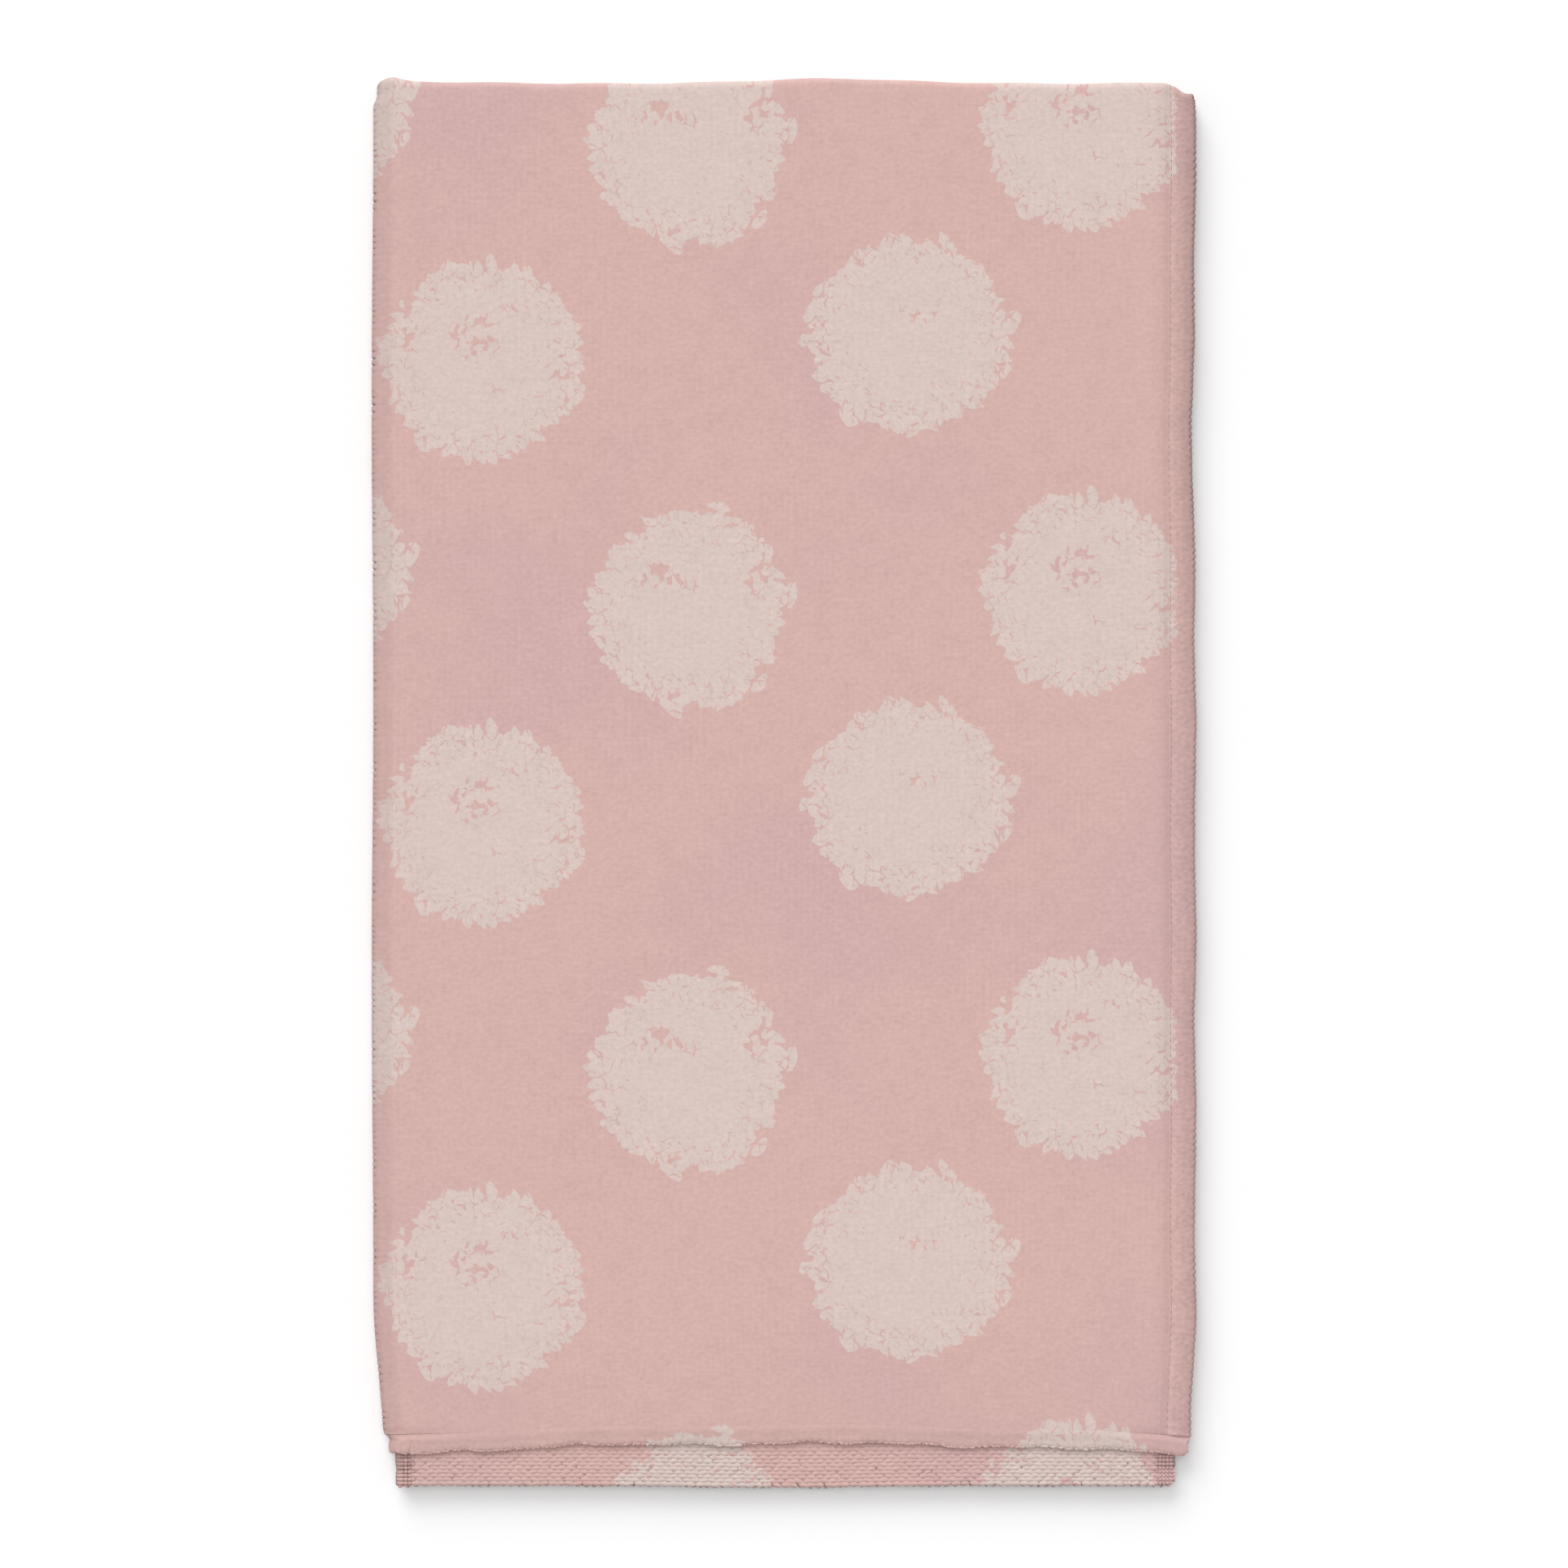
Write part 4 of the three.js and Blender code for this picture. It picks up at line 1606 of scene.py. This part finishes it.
@dataclass
class LoopPile:
    """Uncut loops standing on the reverse of the upper back layer, where it peeks out.

    Long loops lie in rows between two bands at the sides, which have short, dark puffs.
    """

    layout: FoldedLayout
    loop: float = 3.8 * MM
    row: float = 1.58 * MM
    lean: float = -0.05
    band: float = 8.6 * MM

    @property
    def front_end(self) -> float:
        """Length position where the front half's upper layer ends, above the loops."""
        return self.layout.end_of(front=True, upper=True)

    @property
    def back_end(self) -> float:
        """Length position where the layer that bears the loops ends."""
        return self.layout.end_of(front=False, upper=True)

    @staticmethod
    def shadow_patch(flat: float) -> float:
        """Where the front half's hem shades the loops more, from 0 to 1."""
        return 0.5 + 0.5 * math.sin(flat / (17 * MM) + 1.9) * math.sin(flat / (7.7 * MM))

    def bead(self) -> tuple[Array, list[tuple[int, ...]]]:
        """One loop seen from above: a plump bead lying across the towel.

        Returns:
            Its corners and its faces.
        """
        ClothWork.clear_selection()
        bpy.ops.mesh.primitive_uv_sphere_add(
            segments=8, ring_count=5, radius=1.0, rotation=(0, math.pi / 2, 0)
        )
        ball = bpy.context.active_object
        bpy.ops.object.transform_apply(location=False, rotation=True, scale=False)
        corners = np.array([corner.co[:] for corner in ball.data.vertices])
        faces = [tuple(face.vertices) for face in ball.data.polygons]
        bpy.data.objects.remove(ball, do_unlink=True)
        return corners, faces

    def make(self, work: ClothWork) -> bpy.types.Object:
        """Sets the loops row by row and gives them the colours of the cloth under them.

        Args:
            work: the maker of strips.

        Returns:
            The piece.
        """
        rng = np.random.default_rng(7)
        end = self.back_end
        rows = int((self.front_end + 4.0 * MM - end) / self.row)
        right = self.layout.edge_flat
        corners, faces = self.bead()
        laid: list[LoopEnd] = []
        for number in range(rows):
            length = end + 0.2 * MM + number * self.row
            first = 6.0 * MM + self.loop * ((0.5 if number % 2 else 0.0) + 0.2 * rng.random())
            flats = np.arange(first, right - self.band, self.loop)
            for flat in flats + rng.normal(0, 0.35 * MM, len(flats)):
                laid.append(self.loop_at(corners, flat, length, rng, squat=False))
            puffs = [*np.arange(0.4 * MM, 5.4 * MM, 1.6 * MM),
                     *np.arange(right - self.band + 0.2 * MM, right - 0.3 * MM, 1.65 * MM)]
            for flat in puffs:
                laid.append(self.loop_at(corners, flat, length, rng, squat=True))
        laid += self.hem_fuzz(corners, rng)
        polygons = [tuple(corner + len(corners) * copy for corner in face)
                    for copy in range(len(laid)) for face in faces]
        places, maps, shade_tones = (np.concatenate(part) for part in zip(*laid))
        piece = work.link_mesh("upper_back_loops", places, polygons, LOOP_YARN.material())
        work.paint(piece.data, maps, shade_tones)
        LOG.info("%d loops in %d rows", len(laid), rows)
        return piece

    def hem_fuzz(self, corners: Array, rng: np.random.Generator) -> list[LoopEnd]:
        """Loop ends that stick out under the front half's end hem and blur its edge.

        Args:
            corners: the bead's corners.
            rng: the seeded source of small differences.

        Returns:
            Corners, places on the print and painted shade, one set to a loop end.
        """
        lay = self.layout
        hem = EndHem(lay, lay.end_hem, front=True, upper=True)
        edge = self.front_end - hem.reach_out
        ends = []
        for flat in np.arange(0.5 * MM, lay.edge_flat - 2.0 * MM, 0.85 * MM):
            wander = float(hem.ragged(np.array(lay.hinge_x + flat)))
            out = wander + abs(rng.normal(0, 0.35 * MM)) - 0.15 * MM
            size = 1.0 + rng.normal(0, 0.18)
            lean = rng.normal(0, 0.5)
            x, y, z = (corners * np.array([1.0, 0.60, 0.65]) * MM * size).T
            side = flat + x * math.cos(lean) - y * math.sin(lean)
            along = edge + out + x * math.sin(lean) + y * math.cos(lean)
            height = 0.75 * MM + 0.30 * MM * rng.random() + z
            place = lay.point(side, 0 * side, along, 0 * side, height, front=True)
            under = edge + 1.5 * MM + 0 * y
            mapped = lay.cloth_place(flat + 0 * x, 0 * side, under, 0 * side, True)
            # Painted shadow of the front half's hem, in patches, over a small random darkening.
            shade_tone = 0 * side + 0.04 * rng.random() + 0.10 * self.shadow_patch(flat) ** 2
            ends.append((place, mapped, shade_tone))
        return ends

    def loop_at(
        self, corners: Array, flat: float, length: float, rng: np.random.Generator, squat: bool
    ) -> LoopEnd:
        """Places one loop on the cloth.

        Args:
            corners: the bead's corners.
            flat: distance from the hinge line.
            length: position along the towel.
            rng: the seeded source of small differences.
            squat: whether it is one of the short, dark puffs of the side bands.

        Returns:
            The loop's corners, their places on the print, and their painted shade.
        """
        lay = self.layout
        size = 1.0 + rng.normal(0, 0.07)
        lean = rng.normal(0, 0.2) if squat else self.lean + rng.normal(0, 0.10)
        half_long = (0.80 * MM if squat else 0.60 * self.loop) * size
        half_wide = (0.74 * MM if squat else 0.72 * self.row) * size
        covered = 1.0 - 0.75 * rise(length, self.front_end - 1.6 * MM, 2.4 * MM)
        x = corners[:, 0] * half_long
        y = corners[:, 1] * half_wide
        z = corners[:, 2] * (0.42 * MM if squat else 0.32 * MM) * size * covered
        side = flat + x * math.cos(lean) - y * math.sin(lean)
        along = length + x * math.sin(lean) + y * math.cos(lean)
        place = lay.point(side, 0 * side, along, 0 * side, -0.02 * MM - z, front=False)
        stray = rng.normal(0, 2.2 * MM, 2) if squat else (0.0, 0.0)
        spot_x, spot_y = flat + stray[0] + 0.6 * x, length + stray[1] + 0.6 * y
        mapped = lay.cloth_place(spot_x, 0 * side, spot_y, 0 * side, False)
        # Painted shade on each loop's side away from the light, and painted shadow in patches
        # under the front half's hem, over a small random darkening.
        underside = eased((-corners[:, 1] - 0.3) / 0.5) * (1.0 - corners[:, 0] ** 2) ** 2
        under_front = rise(length, self.front_end - 4.5 * MM, 4.5 * MM)
        shade_tone = 0.04 * rng.random() + 0.36 * underside
        shade_tone = shade_tone + 0.08 * under_front * self.shadow_patch(flat)
        if squat:
            # The side bands' puffs are darkened at random, more beside the lengthwise fold and
            # less near the layer's end.
            near_end = fade(length, self.back_end + 2.5 * MM, 4.0 * MM)
            band_darkening = 0.38 if flat < 8 * MM else 0.20
            shade_tone = shade_tone + (0.03 + band_darkening * rng.random()) * (1 - 0.8 * near_end)
        return place, mapped, np.clip(shade_tone, 0, 0.8)


@dataclass
class Studio:
    """The pale floor, the soft lights and the camera straight above."""

    layout: FoldedLayout
    frame_width: float = 662.676 * MM
    lens: float = 100.0
    sensor: float = 36.0
    floor_white: float = 0.93
    room_light: float = 0.442
    lamp_breadth: float = 40.0

    def floor(self) -> None:
        """Lays a plain pale floor."""
        ClothWork.clear_selection()
        bpy.ops.mesh.primitive_plane_add(size=8.0, location=(0.0, 0.0, -0.05 * MM))
        floor = bpy.context.active_object
        floor.name = "floor"
        made = bpy.data.materials.new("floor_white")
        made.use_nodes = True
        shader = made.node_tree.nodes["Principled BSDF"]
        shader.inputs["Base Color"].default_value = (*[self.floor_white] * 3, 1.0)
        shader.inputs["Roughness"].default_value = 0.9
        shader.inputs["Specular IOR Level"].default_value = 0.0
        floor.data.materials.append(made)

    def lights(self) -> None:
        """Hangs two broad lights beyond the crosswise fold in an even white room."""
        world = bpy.data.worlds.new("white_room")
        bpy.context.scene.world = world
        world.use_nodes = True
        background = world.node_tree.nodes["Background"]
        background.inputs["Color"].default_value = (1.0, 1.0, 1.0, 1.0)
        background.inputs["Strength"].default_value = self.room_light
        self.lamp("skylight", (0.0, 0.2, 1.0), 1.05)
        self.lamp("window", (-0.5, 1.4, 1.0), 1.80)

    def lamp(self, name: str, towards: tuple[float, float, float], energy: float) -> None:
        """Adds one distant light.

        Args:
            name: the light's name.
            towards: direction from the towel to the light.
            energy: its strength, in watts per square metre.
        """
        lamp = bpy.data.lights.new(name, "SUN")
        lamp.energy = energy
        lamp.angle = math.radians(self.lamp_breadth)
        holder = bpy.data.objects.new(name, lamp)
        bpy.context.scene.collection.objects.link(holder)
        holder.rotation_euler = Vector(towards).to_track_quat("Z", "Y").to_euler()

    def camera(self) -> None:
        """Sets the camera straight above the towel's middle."""
        data = bpy.data.cameras.new("above")
        data.lens = self.lens
        data.sensor_width = self.sensor
        data.clip_end = 20.0
        holder = bpy.data.objects.new("above", data)
        bpy.context.scene.collection.objects.link(holder)
        away = self.frame_width * self.lens / self.sensor
        holder.location = (0.0, 0.0, self.layout.height + away)
        bpy.context.scene.camera = holder
        bpy.context.scene.view_settings.view_transform = "Standard"


@dataclass
class Towel:
    """The whole towel: its layers, folds, hems, threads and loops."""

    layout: FoldedLayout
    lap: float = 4.0 * MM
    fine_step: float = 2.6 * MM
    hem_step: float = 0.8 * MM
    quarter_bend: float = 2.4 * MM
    work: ClothWork = field(default_factory=ClothWork)

    def layers(self) -> list[Layer]:
        """The four layers, from the top down, the one in full view with the finest grid."""
        return [
            Layer(self.layout, front=True, upper=True, step=self.fine_step),
            Layer(self.layout, front=False, upper=True),
            Layer(self.layout, front=False, upper=False),
            Layer(self.layout, front=True, upper=False),
        ]

    def build(self) -> None:
        """Makes every piece, puts the layers' pieces and the loops under their half's body, and
        hides the CAD nodes they stand in for.
        """
        for layer in self.layers():
            self.build_layer(layer)
        for front in (True, False):
            self.build_fold(front)
        loops = LoopPile(self.layout).make(self.work)
        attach(loops, "upper_half")

    @staticmethod
    def stand_in(piece: bpy.types.Object, slot: str, *nodes: str) -> None:
        """Hides the CAD nodes that a piece stands in for."""
        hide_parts(*nodes)

    def declare(
        self, layer: Layer,
    ) -> None:
        """Works out how long a cloth was before it was folded; the length is not used.

        Args:
            layer: the layer that it is in, or the lower one of a fold.
        """
        length = self.layout.fold_y - layer.end_seam + self.quarter_bend

    def end_hem(self, layer: Layer) -> EndHem:
        """The end hem of a layer, or of a fold by its lower layer."""
        width = self.layout.end_hem + self.layout.seam_gap / 2
        return EndHem(self.layout, width, layer.front, layer.upper)

    def build_layer(self, layer: Layer) -> None:
        """Makes one layer with its hems and threads.

        Args:
            layer: the layer.
        """
        lay, lap, name, half = self.layout, self.lap, layer.name, layer.half
        cloth = layer.cloth(self.work, lap)
        side_width = lay.side_hem + lay.seam_gap / 2
        side = SideHem(lay, side_width, layer.front, layer.upper).make(self.work)
        across = layer.course(lap, lay.edge_flat, self.hem_step)
        end = self.end_hem(layer).make(self.work, across, f"{name}_end_hem_cloth")
        stitches = StitchLine(lay)
        row = layer.course(lap, lay.edge_flat - 0.4 * MM, stitches.stitch / stitches.samples)
        threads = []
        for kind in ("needle", "bobbin"):
            needle = kind == "needle"
            beside = stitches.along_side(layer, needle, f"{name}_side_{kind}_stitches")
            round_fold = [f"{half}_fold_{kind}_thread"] if layer.front else []
            self.stand_in(beside, "sewing_thread", f"{name}_side_{kind}_thread", *round_fold)
            below = stitches.along_end(layer, row, needle, f"{name}_end_{kind}_stitches")
            self.stand_in(below, "sewing_thread", f"{name}_end_{kind}_thread")
            threads += [beside, below]
        for piece in (cloth, side, end, *threads):
            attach(piece, f"{half}_half")
        folded = [f"{half}_crosswise_fold"] if layer.front else []
        self.stand_in(cloth, "printed_cloth", f"{name}_panel", *folded)
        folded = [f"{half}_fold_side_hem"] if layer.front else []
        self.stand_in(side, "hem", f"{name}_side_hem", *folded)
        self.stand_in(end, "hem", f"{name}_end_hem")
        self.declare(layer)
        LOG.info("%s layer: %d pieces", name, 3 + len(threads))

    def build_fold(self, front: bool) -> None:
        """Makes one lengthwise fold, bent round from the upper layer to the lower one, with its
        hem and threads.

        Args:
            front: the outer fold, of the front half, or else the inner one.
        """
        lay, lap = self.layout, self.lap
        fold = LengthwiseFold(lay, front, lap)
        name = f"{fold.name}_fold"
        lower = Layer(lay, front, upper=False)
        cloth = fold.cloth(self.work)
        across = Course.round_fold(lap, self.hem_step, 24 if front else 15)
        end = self.end_hem(lower).make(self.work, across, f"{name}_end_hem_cloth")
        row = Course.round_fold(lap, 0.5 * MM, 30 if front else 15)
        threads = []
        for kind in ("needle", "bobbin"):
            stitched = f"{name}_end_{kind}_stitches"
            thread = StitchLine(lay).along_end(lower, row, kind == "needle", stitched)
            self.stand_in(thread, "sewing_thread", f"{name}_end_{kind}_thread")
            threads.append(thread)
        for piece in (cloth, end, *threads):
            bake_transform(piece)
        corner = ["folded_corner"] if front else []
        self.stand_in(cloth, "printed_cloth", f"{fold.name}_side_fold", *corner)
        self.stand_in(end, "hem", f"{name}_end_hem")
        width = math.pi * lay.mid_level(front) + 2 * lap
        self.declare(lower)
        LOG.info("%s: %d pieces", name, 2 + len(threads))


def main() -> None:
    """Builds the towel, then the studio round it."""
    logging.basicConfig(level=logging.INFO, format="%(name)s: %(message)s")
    layout = FoldedLayout.from_frame()
    Towel(layout).build()
    studio = Studio(layout)
    studio.floor()
    studio.lights()
    studio.camera()
    LOG.info("studio set")


if __name__ == "__main__":
    main()
    bpy.context.view_layer.update()
